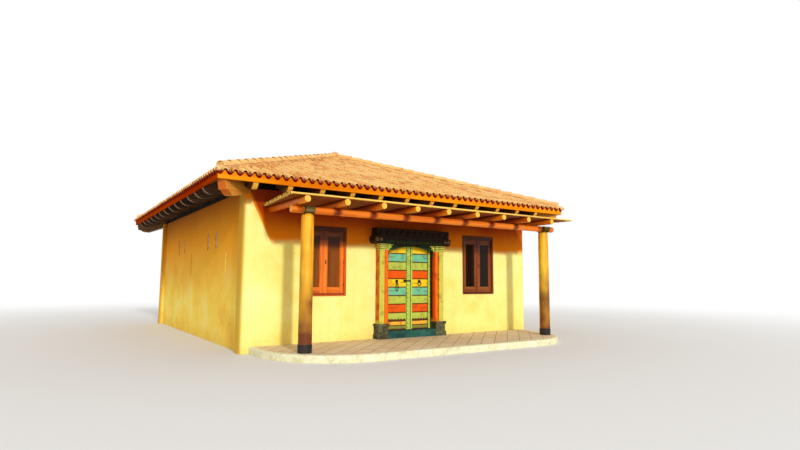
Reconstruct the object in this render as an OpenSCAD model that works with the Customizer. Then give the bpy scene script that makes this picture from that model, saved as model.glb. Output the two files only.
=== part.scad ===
// Adobe house with a low hip roof, curved rafter ends, a log porch and an old carved double door.
// Millimetres, +Z up. The origin is on the ground under the middle of the floor, and the front faces -Y.

/* [House] */
// Width of the house across its front wall
house_w = 8700; // [7400:50:10500]
// Depth of the house from its front wall to its back wall
house_d = 9800; // [8400:50:11400]
// Height of the adobe walls above the ground
wall_h = 3610; // [3510:10:4110]
// Thickness of the adobe walls
wall_t = 350; // [300:10:450]
// How far the front and back walls stand out past the side walls
corner_step = 110; // [60:5:160]
// Height of the room's floor above the ground
floor_h = 250; // [200:5:280]
// How far the middle of the facade stands right of the middle of the house
facade_shift = 30; // [0:5:80]

/* [Windows] */
// Width of a window opening
window_w = 1150; // [900:10:1300]
// Height of a window opening
window_h = 1640; // [1200:10:1700]
// Distance from the top of the walls down to a window's upper edge
window_drop = 748; // [690:2:1010]
// Distance from the middle of the facade to the middle of each window
window_offset = 2425; // [2100:5:2600]
// Width of the window casing at the sides, seen from the front
casing_w = 45; // [35:5:80]
// Height of the window casing's head
casing_head = 90; // [50:5:110]
// Height of the window casing's sill
casing_foot = 55; // [40:5:90]
// Depth of the window casing
casing_d = 140; // [110:5:180]
// How far the casing stands out of the wall
casing_proud = 15; // [0:1:30]
// Width of a casement's stiles
sash_w = 98; // [60:1:110]
// Height of a casement's rails
sash_rail = 135; // [70:1:150]
// Thickness of a casement
sash_t = 45; // [30:1:60]
// Thickness of the panes
glass_t = 6; // [4:1:10]

/* [Side openings] */
// Distance from the house front to the middle of the first niche
niche_y = 1650; // [1200:10:1900]
// Distance from a niche to the first vent behind it
vent_first = 940; // [700:10:1100]
// Distance between the two vents of a group
vent_gap = 830; // [500:10:900]
// Distance from one group of openings to the next
group_pitch = 3680; // [3200:10:4100]
// Width of a vent
vent_w = 200; // [120:5:260]
// Height of a vent
vent_h = 440; // [300:10:500]
// Height of a vent's upper edge above the ground
vent_top = 2830; // [2500:10:3000]
// Thickness of the clay grille in a vent
vent_tile_t = 60; // [40:5:90]
// How far the grille lies behind the wall's face
vent_recess = 30; // [10:5:120]
// Number of round holes up a grille
vent_holes = 3; // [2:1:5]
// Width of a niche
niche_w = 110; // [80:5:160]
// Height of a niche
niche_h = 590; // [400:10:700]
// Height of a niche's lower edge above the ground
niche_z = 1750; // [1500:10:1900]
// Depth of a niche
niche_d = 90; // [50:5:120]

/* [Door] */
// Clear width between the door jambs
door_w = 1450; // [1200:10:1600]
// Distance from the top of the walls down to the underside of the door's lintel
lintel_drop = 1100; // [1060:10:1170]
// Height of the top of the threshold above the ground
sill_top = 330; // [310:5:370]
// Width of a round-fronted jamb
jamb_w = 130; // [100:5:160]
// Width of the flat pilaster outside a jamb
pilaster_w = 150; // [110:5:190]
// How far the pilasters stand out of the wall
pilaster_d = 210; // [150:5:260]
// How far the jambs reach into the wall
jamb_depth = 90; // [80:5:130]
// Height of the stone plinths under the jambs
plinth_h = 370; // [250:10:450]
// How far a plinth stands out past its pilaster
plinth_step = 60; // [30:5:90]
// Height of the lintel's lower part, with its end brackets
bracket_h = 180; // [120:5:220]
// Height of the lintel's upper beam
beam_h = 210; // [150:5:260]
// How far the brackets reach past the pilasters
bracket_over = 190; // [120:5:220]
// How far the brackets reach past the upper beam
bracket_step = 65; // [30:5:90]
// Height of the timber head over the leaves, inside the wall
head_h = 150; // [110:5:200]
// Thickness of the arched valance board
valance_t = 40; // [25:5:60]
// Height of the valance board at its ends
valance_h = 150; // [100:5:180]
// Height of the arch cut in the valance board
valance_rise = 115; // [60:5:130]
// Thickness of a door leaf
leaf_t = 60; // [50:2:70]
// Width of the leaves' stiles
stile_w = 85; // [60:5:110]
// Width of the raised middle stile, which belongs to the left leaf
middle_w = 145; // [110:5:180]
// Number of painted boards up a leaf
leaf_rows = 10; // [6:1:12]
// Height of the dark ledge between two boards
ledge_h = 22; // [14:1:30]
// How far the painted boards lie behind the stiles
board_back = 14; // [8:1:20]
// Diameter of the pivots that a leaf turns on
pivot_d = 36; // [28:1:44]
// Length of each pivot
pivot_h = 40; // [30:1:45]
// Diameter of a door knocker's ring
ring_d = 110; // [80:5:140]
// Thickness of a door knocker's ring
ring_t = 14; // [10:1:18]
// Number of the painted board that the knockers hang on, counted from the bottom
knocker_row = 6; // [4:1:6]
// How far a knocker's plate stands above the middle of its board
knocker_up = 31.6; // [26:0.1:34]

/* [Roof] */
// Slope of the roof in degrees
roof_pitch = 20.2; // [17:0.1:23]
// How far the eaves reach past the front wall and its ends
eave_overhang = 800; // [700:10:900]
// Thickness of the timber plate on the walls, at the front wall's face
plate_t = 60; // [40:5:80]
// Width of the wall plates
plate_w = 120; // [90:5:160]
// Spacing of the eave rafters
rafter_spacing = 767; // [600:1:900]
// Width of a rafter
rafter_w = 120; // [90:5:140]
// Depth of a rafter
rafter_depth = 225; // [160:5:240]
// Width of a hip rafter
hip_w = 175; // [150:5:200]
// Depth of a hip rafter
hip_depth = 225; // [180:5:250]
// Gap between a hip rafter's square end and the fascia boards
hip_end_gap = 4; // [2:1:40]
// Width of the curved bracket under a hip rafter
hip_bracket_w = 195; // [160:5:220]
// Depth of a hip rafter and its bracket together
hip_bracket_depth = 390; // [340:10:420]
// How far the curved bracket stays inside the corner of the eaves
hip_bracket_setback = 210; // [200:10:300]
// Radius of the bracket's rounded end
hip_bracket_r = 280; // [180:10:340]
// Thickness of the roof boards
board_t = 25; // [18:1:35]
// Thickness of the tile layer with its bedding
tile_layer = 152; // [142:1:200]
// How far the tiles reach past the fascia
tile_lip = 60; // [40:5:80]
// Height of the fascia boards
fascia_h = 130; // [112:2:148]
// Thickness of the fascia boards
fascia_t = 32; // [22:1:40]
// Radius of the round tiles along the hips
cap_r = 100; // [80:5:120]
// How far the middle of a round hip tile lies above the slopes, on its bed
cap_rise = 85; // [0:5:120]

/* [Porch] */
// Height of the porch floor above the ground
platform_h = 150; // [100:5:180]
// Depth of the porch floor in front of the wall
platform_d = 2350; // [2200:10:2600]
// Distance from the house's corner to the end of the porch floor
platform_inset = 200; // [100:10:400]
// Radius of the porch floor's rounded corners
platform_r = 1800; // [1200:50:2000]
// Width of the kerb round the porch floor
kerb_w = 120; // [80:5:180]
// Distance from the wall to the middle of the posts
post_y = 1500; // [1300:10:1700]
// Distance from the house's corner to the middle of a post
post_inset = 845; // [700:5:1000]
// Diameter of a post at its foot
post_d = 282; // [220:2:300]
// Diameter of a post at its top
post_top_d = 262; // [200:2:280]
// Height of the dark base under a post
base_h = 170; // [100:5:220]
// Diameter of the base under a post
base_d = 290; // [270:2:340]
// Height of the saddle block on a post
saddle_h = 210; // [180:5:240]
// Width of the saddle block along the beam
saddle_w = 204; // [170:2:290]
// Depth of the saddle block across the beam
saddle_d = 300; // [260:5:340]
// Distance from the top of the walls down to the middle of the porch beam
beam_drop = 590; // [560:5:640]
// Diameter of the porch beam
beam_d = 155; // [130:1:170]
// How far the porch beam reaches past the middle of a post
beam_over = 365; // [300:5:420]
// Diameter of the porch logs
log_d = 142; // [110:1:150]
// Spacing of the porch logs
log_pitch = 876; // [700:2:1000]
// Distance from the beam's end to the first log
log_first = 130; // [100:5:150]
// How far the porch logs reach in front of the wall
log_reach = 2030; // [1900:10:2150]
// How far the logs are built into the wall
log_socket = 130; // [80:5:160]
// Diameter of the porch canes
cane_d = 45; // [30:1:50]
// Gap between two canes
cane_gap = 5; // [3:1:12]
// How far the canes reach past the beam's end at the wall
cane_over = 40; // [20:5:80]
// How much farther the canes reach at the front
cane_spread = 205; // [100:5:230]
// How uneven the cane ends are
cane_shift = 28; // [0:1:35]

/* [Hidden] */
$fn = 48;
fine_fn = 240;
// Gap at which one piece rests on another, gap beside a fitted timber and gap round a moving leaf
seat = 0.3;
fit = 2;
leaf_gap = 6;
// How far the fascia boards hang below the roof boards, and the saddle blocks stop below the beam's top
fascia_drop = 5;
saddle_drop = 18;
// Cutting tools reach this far past what they cut
past = 20;

// Walls
hw = house_w / 2;
hd = house_d / 2;
front = -hd;
side_x = hw - corner_step;
door_half = door_w / 2;
opening_half = door_half + jamb_w;
window_sill = wall_h - window_drop - window_h;
lintel_z = wall_h - lintel_drop;
head_top = lintel_z + head_h;
plinth_top = platform_h + plinth_h;

// Roof, with heights taken on the eave line, which is the fascia's outer face
slope = tan(roof_pitch);
hip_pitch = atan(slope / sqrt(2));
ex = hw + eave_overhang;
ey = hd + eave_overhang;
ridge_run = min(ex, ey);
eave_z = wall_h + plate_t - eave_overhang * slope;
boards_z = eave_z + rafter_depth / cos(roof_pitch) + seat;
tiles_z = boards_z + board_t / cos(roof_pitch);
top_z = tiles_z + tile_layer / cos(roof_pitch);
fascia_z = boards_z - fascia_drop;
fascia_top = fascia_z + fascia_h;
sky_z = top_z + ridge_run * slope + (cap_r + cap_rise) * 3;
hip_widest = max(hip_w, hip_bracket_w);
hip_drop = hip_widest / 2 * slope / sqrt(2) + seat;
hip_inset = hip_widest / 2 * sqrt(2);
hip_setback = fascia_t + hip_end_gap + (hip_w / 2 + hip_depth * sin(hip_pitch)) / sqrt(2);
rafter_end = 200;

// Porch
beam_z = wall_h - beam_drop;
post_x = hw - post_inset;
beam_half = post_x + beam_over;
saddle_z = beam_z + beam_d / 2 - saddle_h - saddle_drop;
log_z = beam_z + (beam_d + log_d) / 2 + seat;
cane_z = log_z + (log_d + cane_d) / 2 + seat;
cane_count = floor((log_reach - cane_gap) / (cane_d + cane_gap));

// Door leaves, measured from the middle of the doorway
leaf_z0 = sill_top + leaf_gap;
leaf_z1 = lintel_z - leaf_gap;
leaf_h = leaf_z1 - leaf_z0;
pivot_x = door_half - leaf_gap - leaf_t / 2;
pivot_y = front + leaf_t / 2;
meeting_x = middle_w / 2;
left_leaf_w = pivot_x + meeting_x;
right_leaf_w = pivot_x - meeting_x - leaf_gap;

// A box between two corners
module block(low, high) translate(low) cube(high - low);

// The four sides of the roof are turned copies of the front one: 0 front, 1 right, 2 back, 3 left
function eave_half(k) = k % 2 == 0 ? ex : ey;
function eave_run(k) = k % 2 == 0 ? ey : ex;
function wall_half(k) = k % 2 == 0 ? hw : hd;
function wall_back(k) = eave_overhang + (k % 2 == 0 ? 0 : corner_step);

// Plan of one roof slope, bounded by the eave, the two hips at 45 degrees and the ridge
module slope_plan(half, run, inset) intersection() {
    polygon([[inset - half, -run], [half - inset, -run], [0, half - run - inset]]);
    translate([-half, -run]) square([2 * half, run - inset / sqrt(2)]);
}

module on_slope(k, lip = 0, inset = 0) rotate([0, 0, 90 * k]) intersection() {
    linear_extrude(sky_z) slope_plan(eave_half(k) + lip, eave_run(k) + lip, inset);
    children();
}

// A layer of the roof: its section from the eave to the ridge, carried along the eave
module carried(k, lip = 0) rotate([90, 0, 90])
    linear_extrude(2 * (eave_half(k) + lip), center = true) children();

// A timber seen from its side, with its lower outer corner rounded
module round_tail(length, depth, r) difference() {
    square([length, depth]);
    if (r > 0) difference() {
        translate([-1, -1]) square(r + 1);
        translate([r, r]) circle(r);
    }
}

// Walls
module hip_pockets() hip_timbers(fit, seat);

function log_places() = [for (x = [log_first - beam_half : log_pitch : beam_half - log_first]) x];

module log_sockets() for (x = log_places())
    translate([x, front - past, log_z]) rotate([-90, 0, 0]) cylinder(d = log_d + seat * 2, h = log_socket + past);

module window_holes(shift) for (side = [-1, 1])
    block([shift + side * window_offset - window_w / 2, front - past, window_sill],
        [shift + side * window_offset + window_w / 2, front + wall_t + past, window_sill + window_h]);

module front_wall(x0, x1, z0) color("#F2C83A") difference() {
    block([x0, front, z0], [x1, front + wall_t, wall_h]);
    window_holes(facade_shift);
    log_sockets();
    hip_pockets();
}
module front_wall_left() front_wall(-hw, facade_shift - opening_half, 0);
module front_wall_right() front_wall(facade_shift + opening_half, hw, 0);
module front_wall_over_door()
    front_wall(facade_shift - opening_half, facade_shift + opening_half, head_top);

module back_wall() color("#F2C83A") difference() {
    rotate([0, 0, 180]) difference() {
        block([-hw, front, 0], [hw, front + wall_t, wall_h]);
        window_holes(0);
    }
    hip_pockets();
}

// Openings of the left wall: a niche and two vents in each group
function group_places() = [for (i = [0, 1]) front + niche_y + i * group_pitch];
function vent_places() = [for (y = group_places()) for (step = [0, vent_gap]) y + vent_first + step];

module side_wall() color("#E9BE3C") difference() {
    block([-side_x, front + wall_t, 0], [wall_t - side_x, hd - wall_t, wall_h]);
    for (y = vent_places())
        block([-side_x - past, y - vent_w / 2, vent_top - vent_h],
            [wall_t - side_x + past, y + vent_w / 2, vent_top]);
    for (y = group_places())
        block([-side_x - past, y - niche_w / 2, niche_z],
            [niche_d - side_x, y + niche_w / 2, niche_z + niche_h]);
    hip_pockets();
}
module left_wall() side_wall();
module right_wall() mirror([1, 0, 0]) side_wall();

// A clay grille stands near the face of each vent, with round holes up it
module vent_tiles() color("#A8685A") for (side = [0, 1]) mirror([side, 0, 0])
    for (y = vent_places()) difference() {
        vent_x = vent_recess - side_x;
        block([vent_x, y - vent_w / 2, vent_top - vent_h], [vent_x + vent_tile_t, y + vent_w / 2, vent_top]);
        hole_pitch = vent_h / vent_holes;
        for (i = [1 : vent_holes])
            translate([vent_x - past, y, vent_top + hole_pitch / 2 - i * hole_pitch]) rotate([0, 90, 0])
                cylinder(r = min(vent_w, hole_pitch) / 3, h = vent_tile_t + 2 * past);
    }

// The floor runs out into the doorway
module floor_slab() color("#A9825E") union() {
    block([wall_t - side_x, front + wall_t, 0], [side_x - wall_t, hd - wall_t, floor_h]);
    block([facade_shift - opening_half, front, 0],
        [facade_shift + opening_half, front + wall_t + 1, floor_h]);
}

// Windows
module at_windows(shift, turn) rotate([0, 0, turn]) for (side = [-1, 1])
    translate([shift + side * window_offset, front, window_sill]) children();

module rim(w, h, d, side, foot, head) difference() {
    block([-w / 2, 0, 0], [w / 2, d, h]);
    block([side - w / 2, -past, foot], [w / 2 - side, d + past, h - head]);
}

module casing() color("#7A2416") translate([0, -casing_proud, 0])
    rim(window_w, window_h, casing_d, casing_w, casing_foot, casing_head);

sash_y = (casing_d - sash_t) / 3;
light_w = window_w / 2 - casing_w - fit / 2;
light_h = window_h - casing_foot - casing_head;

module at_lights() for (side = [-1, 1])
    translate([side * (light_w + fit) / 2, sash_y, casing_foot]) children();

module sashes() color("#C65A12") at_lights() rim(light_w, light_h, sash_t, sash_w, sash_rail, sash_rail);

module panes() color("#5A3A24") at_lights() translate([0, (sash_t - glass_t) / 2, sash_rail])
    block([sash_w - light_w / 2, 0, 0], [light_w / 2 - sash_w, glass_t, light_h - 2 * sash_rail]);

module front_window_frames() at_windows(facade_shift, 0) casing();
module front_window_sashes() at_windows(facade_shift, 0) sashes();
module front_window_glass() at_windows(facade_shift, 0) panes();
module back_window_frames() at_windows(0, 180) casing();
module back_window_sashes() at_windows(0, 180) sashes();
module back_window_glass() at_windows(0, 180) panes();

// Door surround, drawn round the middle of the doorway
module at_door() translate([facade_shift, 0, 0]) children();
module both_sides() for (side = [0, 1]) mirror([side, 0, 0]) children();

// A jamb is a post with a round front, like an engaged column
module door_jambs() color("#F0560F") at_door() both_sides()
    translate([door_half, 0, plinth_top]) linear_extrude(lintel_z - plinth_top) {
        translate([0, front - pilaster_d + jamb_w / 2]) square([jamb_w, pilaster_d - jamb_w / 2 + jamb_depth]);
        translate([jamb_w / 2, front - pilaster_d + jamb_w / 2]) circle(jamb_w / 2);
    }

capital_h = 90;
capital_step = 14;
module door_pilasters() color("#C9C04A") at_door() both_sides() union() {
    block([opening_half, front - pilaster_d + capital_step, plinth_top],
        [opening_half + pilaster_w, front, lintel_z]);
    block([opening_half, front - pilaster_d, lintel_z - capital_h],
        [opening_half + pilaster_w + capital_step, front, lintel_z]);
}

// The lintel's brackets have round undersides, and its rear part is the head over the leaves
module bracket_end(half) translate([half - bracket_over, 0]) square([bracket_over, bracket_h]);
module door_lintel() color("#24170E") at_door() difference() {
    bracket_half = opening_half + pilaster_w + bracket_over;
    beam_half_w = bracket_half - bracket_step;
    union() {
        translate([0, front, lintel_z]) rotate([90, 0, 0]) linear_extrude(pilaster_d + bracket_step) {
            both_sides() translate([bracket_half, 0]) mirror([1, 0]) round_tail(bracket_half, bracket_h, bracket_h / 2);
            translate([-beam_half_w, bracket_h - 1]) square([2 * beam_half_w, beam_h + 1]);
        }
        block([-opening_half, front - 1, lintel_z], [opening_half, front + jamb_depth + fit, head_top]);
    }
    both_sides() translate([pivot_x, pivot_y, lintel_z - past])
        cylinder(d = pivot_d + fit, h = past + leaf_pin_top);
}
leaf_pin_top = pivot_h + seat - leaf_gap;

module door_valance() color("#1E2A18") at_door()
    translate([0, front - pilaster_d / 2, lintel_z]) rotate([90, 0, 0]) linear_extrude(valance_t) difference() {
        arch_half = door_half - jamb_w;
        arch_r = (arch_half * arch_half + valance_rise * valance_rise) / (2 * valance_rise);
        translate([-door_half, -valance_h]) square([door_w, valance_h]);
        translate([0, valance_rise - valance_h - arch_r]) circle(arch_r, $fn = 2 * fine_fn);
    }

module door_plinths() color("#5E6A5A") at_door() both_sides() union() {
    block([door_half, front - pilaster_d - plinth_step / 2, platform_h],
        [opening_half + pilaster_w + plinth_step, front, plinth_top]);
    block([door_half, front - 1, floor_h], [opening_half, front + jamb_depth, plinth_top]);
}

module door_threshold() color("#2F5A4A") at_door() difference() {
    union() {
        block([-door_half, front - pilaster_d, platform_h], [door_half, front, sill_top]);
        block([-door_half, front - 1, floor_h], [door_half, front + jamb_depth + fit, sill_top]);
    }
    both_sides() translate([pivot_x, pivot_y, sill_top - leaf_pin_top])
        cylinder(d = pivot_d + fit, h = pivot_h + past);
}

// A leaf is drawn from its pivot outwards: a rounded hanging edge, stiles, ledges and painted boards
row_h = leaf_h / leaf_rows;
module leaf(w, meeting) union() {
    linear_extrude(leaf_h) {
        circle(leaf_t / 2);
        translate([0, -leaf_t / 2]) square([stile_w - leaf_t / 2, leaf_t]);
        translate([0, board_back - leaf_t / 2]) square([w, leaf_t - board_back]);
        translate([w - meeting, -leaf_t / 2]) square([meeting, leaf_t]);
    }
    for (i = [0 : leaf_rows]) {
        ledge_z = max(0, min(leaf_h - ledge_h, i * row_h - ledge_h / 2));
        block([0, board_back / 2 - leaf_t / 2, ledge_z], [w, 0, ledge_z + ledge_h]);
    }
    translate([0, 0, -pivot_h]) cylinder(d = pivot_d, h = leaf_h + 2 * pivot_h);
}
module at_leaf(side) at_door() translate([side * pivot_x, pivot_y, leaf_z0]) children();

module door_leaf_left() color("#8FC27E") at_leaf(-1) leaf(left_leaf_w, middle_w);
module door_leaf_right() color("#7FC2A0") at_leaf(1) mirror([1, 0, 0]) leaf(right_leaf_w, stile_w / 2);

// A knocker: a domed plate, a staple and a ring that hangs on it
plate_d = 80;
plate_rise = 8;
staple_d = 26;
staple_out = 40;
module knocker() color("#2A2622") rotate([90, 0, 0]) union() {
    cylinder(d = plate_d, h = plate_rise);
    cylinder(d = staple_d, h = staple_out);
    translate([0, -ring_d / 2 + ring_t / 2, staple_out - ring_t])
        rotate_extrude() translate([(ring_d - ring_t) / 2, 0]) circle(d = ring_t);
}
knocker_x = stile_w + (door_half - stile_w - middle_w / 2) / 2;
knocker_z = leaf_z0 + (knocker_row - 1 / 2) * row_h + knocker_up;
module knocker_left() at_door()
    translate([knocker_x - door_half, front + board_back, knocker_z]) knocker();
module knocker_right() at_door()
    translate([door_half - knocker_x, front + board_back, knocker_z]) knocker();

// Roof timbers
function rafter_places(k) = [for (x = [0 : rafter_spacing : 2 * wall_half(k) - rafter_end]) x - wall_half(k)];

module rafter_bars(k, grow) {
    tail_in = fascia_t + seat + rafter_depth * sin(roof_pitch);
    for (x = rafter_places(k))
        translate([x, 0, 0]) rotate([90, 0, 90]) linear_extrude(rafter_w + 2 * grow, center = true)
            translate([tail_in - eave_run(k), eave_z + tail_in * slope]) rotate(roof_pitch)
                round_tail(eave_run(k) * 2, rafter_depth, rafter_depth);
}

module rafter_row(k) color("#5A3420") on_slope(k, 0, hip_inset + seat) rafter_bars(k, 0);
module front_rafters() rafter_row(0);
module right_rafters() rafter_row(1);
module back_rafters() rafter_row(2);
module left_rafters() rafter_row(3);

// The plate fills the bays between the rafters up to the roof boards
module plate(k) on_slope(k, 0, hip_inset + fit) difference() {
    d0 = wall_back(k) + plate_w / 8;
    d1 = d0 + plate_w;
    run = eave_run(k);
    carried(k) polygon([[d0 - run, wall_h], [d1 - run, wall_h],
        [d1 - run, boards_z + d1 * slope - seat], [d0 - run, boards_z + d0 * slope - seat]]);
    rafter_bars(k, seat);
}
module wall_plates() color("#6A3B1E") for (k = [0 : 3]) plate(k);

// A hip rafter runs in from the corner of the eaves with a square end, and a deep curved bracket
// under it reaches into the corner of the walls
module hip_timber(setback, reach, w, depth, r) {
    low_z = boards_z - hip_drop + setback * slope - depth / cos(hip_pitch);
    translate([-ex, -ey, 0]) rotate([90, 0, 45]) linear_extrude(w, center = true) intersection() {
        translate([setback * sqrt(2), low_z]) rotate(hip_pitch) round_tail(2 * ridge_run, depth, r);
        square([reach, sky_z]);
    }
}
module hip_timbers(side_gap, under_gap) {
    bracket_reach = eave_overhang * sqrt(2) + wall_t + side_gap;
    for (mx = [0, 1]) mirror([mx, 0, 0]) for (my = [0, 1]) mirror([0, my, 0]) {
        hip_timber(hip_setback, ridge_run * sqrt(2), hip_w + 2 * side_gap, hip_depth + under_gap, 0);
        hip_timber(hip_bracket_setback, bracket_reach, hip_bracket_w + 2 * side_gap,
            hip_bracket_depth + under_gap, hip_bracket_r);
    }
}
module hip_rafters() color("#6A4020") union() {
    hip_timbers(0, 0);
    if (ex != ey) {
        rx = ex - ridge_run;
        ry = ey - ridge_run;
        ridge_top = boards_z - seat + (ridge_run - hip_w / 2) * slope;
        block([-rx - hip_w / 2, -ry - hip_w / 2, ridge_top - hip_depth], [rx + hip_w / 2, ry + hip_w / 2, ridge_top]);
    }
}

// Roof covering
module roof_boards() color("#7A4A28") for (k = [0 : 3]) on_slope(k, 0, fit / 2) {
    run = eave_run(k);
    carried(k) polygon([[fascia_t - run, boards_z + fascia_t * slope], [0, boards_z + run * slope],
        [0, tiles_z + run * slope], [fascia_t - run, tiles_z + fascia_t * slope]]);
}

module tile_slope(k) color("#D9925A") on_slope(k, tile_lip) {
    run = eave_run(k);
    carried(k, tile_lip) polygon([[-tile_lip - run, fascia_top], [fascia_t - run, fascia_top],
        [fascia_t - run, tiles_z + fascia_t * slope], [0, tiles_z + run * slope],
        [0, top_z + run * slope], [-tile_lip - run, top_z - tile_lip * slope]]);
}
module tiles_front() tile_slope(0);
module tiles_right() tile_slope(1);
module tiles_back() tile_slope(2);
module tiles_left() tile_slope(3);

// A hip tile is a round cap on a bed of mortar, whose underside fits the two slopes that meet at the hip
cap_fall = slope / sqrt(2 + slope * slope);
module cap_section(fall) intersection() {
    union() {
        translate([-cap_rise, 0]) circle(cap_r);
        translate([-cap_rise, -cap_r]) square([cap_rise + cap_r, 2 * cap_r]);
    }
    polygon([[-4 * cap_r, -2 * cap_r], [2 * cap_r * fall - seat, -2 * cap_r], [-seat, 0],
        [2 * cap_r * fall - seat, 2 * cap_r], [-4 * cap_r, 2 * cap_r]]);
}

module hip_caps() color("#C97A48") {
    for (mx = [0, 1]) mirror([mx, 0, 0]) for (my = [0, 1]) mirror([0, my, 0]) intersection() {
        translate([-ex - tile_lip, -ey - tile_lip, top_z - tile_lip * slope])
            rotate([0, 90 - hip_pitch, 45]) translate([0, 0, -cap_r])
                linear_extrude((ridge_run + 2 * cap_r) * 2) cap_section(cap_fall);
        block([-ex - tile_lip, -ey - tile_lip, 0],
            [ridge_run - ex - fit / 2, ridge_run - ey - fit / 2, sky_z]);
    }
    if (abs(ex - ey) > past)
        translate([0, 0, top_z + ridge_run * slope]) rotate([0, 90, ex > ey ? 0 : 90])
            linear_extrude(2 * abs(ex - ey) - fit, center = true) cap_section(slope);
}

module fascia_boards() color("#E08A18") difference() {
    block([-ex, -ey, fascia_z], [ex, ey, fascia_top]);
    block([fascia_t - ex, fascia_t - ey, fascia_z - past], [ex - fascia_t, ey - fascia_t, fascia_top + past]);
}

// Porch floor with its rounded front corners
module platform_plan(inset) {
    half = hw - platform_inset - inset;
    depth = platform_d - inset;
    r = platform_r - inset;
    translate([-half, front - depth + r]) square([2 * half, depth - r]);
    translate([r - half, front - depth]) square([2 * (half - r), depth]);
    intersection() {
        for (side = [-1, 1]) translate([side * (half - r), front - depth + r]) circle(r, $fn = fine_fn);
        translate([-half, front - depth]) square([2 * half, depth]);
    }
}
module porch_kerb() color("#CFC7A0") linear_extrude(platform_h) difference() {
    platform_plan(0);
    platform_plan(kerb_w);
}
module porch_paving() color("#B98A6A") linear_extrude(platform_h) platform_plan(kerb_w);

// Porch posts, beam, logs and canes
module at_posts() for (side = [-1, 1]) translate([side * post_x, front - post_y, 0]) children();

module post_bases() color("#1E1B18") at_posts() translate([0, 0, platform_h]) cylinder(d = base_d, h = base_h);
module porch_posts() color("#E0A030") at_posts()
    translate([0, 0, platform_h + base_h])
        cylinder(d1 = post_d, d2 = post_top_d, h = saddle_z - platform_h - base_h);

// A saddle block cups the beam on each post
module post_saddles() color("#8A7A64") at_posts() difference() {
    block([-saddle_w / 2, -saddle_d / 2, saddle_z], [saddle_w / 2, saddle_d / 2, saddle_z + saddle_h]);
    translate([-saddle_w, 0, beam_z]) rotate([0, 90, 0]) cylinder(d = beam_d + 2 * seat, h = 2 * saddle_w);
}

module porch_beam() color("#E8901E") translate([-beam_half, front - post_y, beam_z])
    rotate([0, 90, 0]) cylinder(d = beam_d, h = 2 * beam_half);

module porch_logs() color("#E8901E") for (x = log_places())
    translate([x, front - log_reach, log_z]) rotate([-90, 0, 0]) cylinder(d = log_d, h = log_reach + log_socket - seat);

module porch_canes() color("#D9A848") for (i = [0 : cane_count - 1]) {
    cane_y = front - cane_gap - cane_d / 2 - i * (cane_d + cane_gap);
    left = beam_half + cane_over + cane_spread * i / cane_count + cane_shift * sin(137 * i);
    right = beam_half + cane_over + cane_spread * i / cane_count + cane_shift * sin(97 * i);
    translate([-left, cane_y, cane_z]) rotate([0, 90, 0]) cylinder(d = cane_d, h = left + right, $fn = 24);
}

floor_slab();
porch_kerb();
porch_paving();
front_wall_left();
front_wall_right();
front_wall_over_door();
left_wall();
right_wall();
back_wall();
front_window_frames();
front_window_sashes();
front_window_glass();
back_window_frames();
back_window_sashes();
back_window_glass();
vent_tiles();
door_jambs();
door_pilasters();
door_lintel();
door_valance();
door_plinths();
door_threshold();
door_leaf_left();
door_leaf_right();
knocker_left();
knocker_right();
wall_plates();
front_rafters();
right_rafters();
back_rafters();
left_rafters();
hip_rafters();
roof_boards();
tiles_front();
tiles_right();
tiles_back();
tiles_left();
hip_caps();
fascia_boards();
porch_posts();
post_bases();
post_saddles();
porch_beam();
porch_logs();
porch_canes();
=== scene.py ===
"""Adobe house: lime-washed walls, a barrel-tiled hip roof, a log and cane porch and an old painted door."""
import math

import bmesh
import bpy
import numpy as np
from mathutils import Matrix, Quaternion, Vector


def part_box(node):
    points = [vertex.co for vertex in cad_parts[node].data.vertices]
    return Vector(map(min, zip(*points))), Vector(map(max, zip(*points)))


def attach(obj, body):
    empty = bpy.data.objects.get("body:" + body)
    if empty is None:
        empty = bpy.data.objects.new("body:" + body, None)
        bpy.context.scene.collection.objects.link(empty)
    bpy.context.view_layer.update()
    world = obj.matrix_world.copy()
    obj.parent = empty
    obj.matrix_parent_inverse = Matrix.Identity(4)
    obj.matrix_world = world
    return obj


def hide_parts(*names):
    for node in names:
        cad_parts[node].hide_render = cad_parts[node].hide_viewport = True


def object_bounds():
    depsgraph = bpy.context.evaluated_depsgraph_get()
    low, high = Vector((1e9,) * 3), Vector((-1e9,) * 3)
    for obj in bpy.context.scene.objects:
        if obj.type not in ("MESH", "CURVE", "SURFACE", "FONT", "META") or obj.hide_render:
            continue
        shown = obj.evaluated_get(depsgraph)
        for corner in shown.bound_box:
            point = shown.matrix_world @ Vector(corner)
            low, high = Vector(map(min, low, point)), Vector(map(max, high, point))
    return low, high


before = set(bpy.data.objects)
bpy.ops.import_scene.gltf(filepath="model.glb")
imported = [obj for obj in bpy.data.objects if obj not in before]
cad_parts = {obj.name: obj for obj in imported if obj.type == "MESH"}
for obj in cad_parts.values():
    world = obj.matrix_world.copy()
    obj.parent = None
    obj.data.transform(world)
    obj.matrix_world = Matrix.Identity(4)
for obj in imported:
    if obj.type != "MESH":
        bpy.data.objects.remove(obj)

bl_info = {
    "name": "Adobe House",
    "version": (1, 0, 0),
    "blender": (4, 5, 0),
    "location": "View3D > Sidebar > House",
    "description": "Dresses the packed adobe house with its walls, tiles, timber, door and stage",
    "category": "Add Mesh",
}

# the ends of a node's box, the axes, the way out of the front wall, and paint that changes nothing
LOW, HIGH = 0, 1
X, Y, Z = np.eye(3)
OUT = -Y
PLAIN = (1, 1, 1, 1)


# places taken from the frame
def box(node):
    """The lowest and the highest corner of a CAD node, as arrays."""
    return [np.array(c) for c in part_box(node)]


def node_points(node):
    """All points of a CAD node, one row each."""
    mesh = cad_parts[node].data
    points = np.zeros(len(mesh.vertices) * 3)
    mesh.vertices.foreach_get("co", points)
    return points.reshape(-1, 3)


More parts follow.
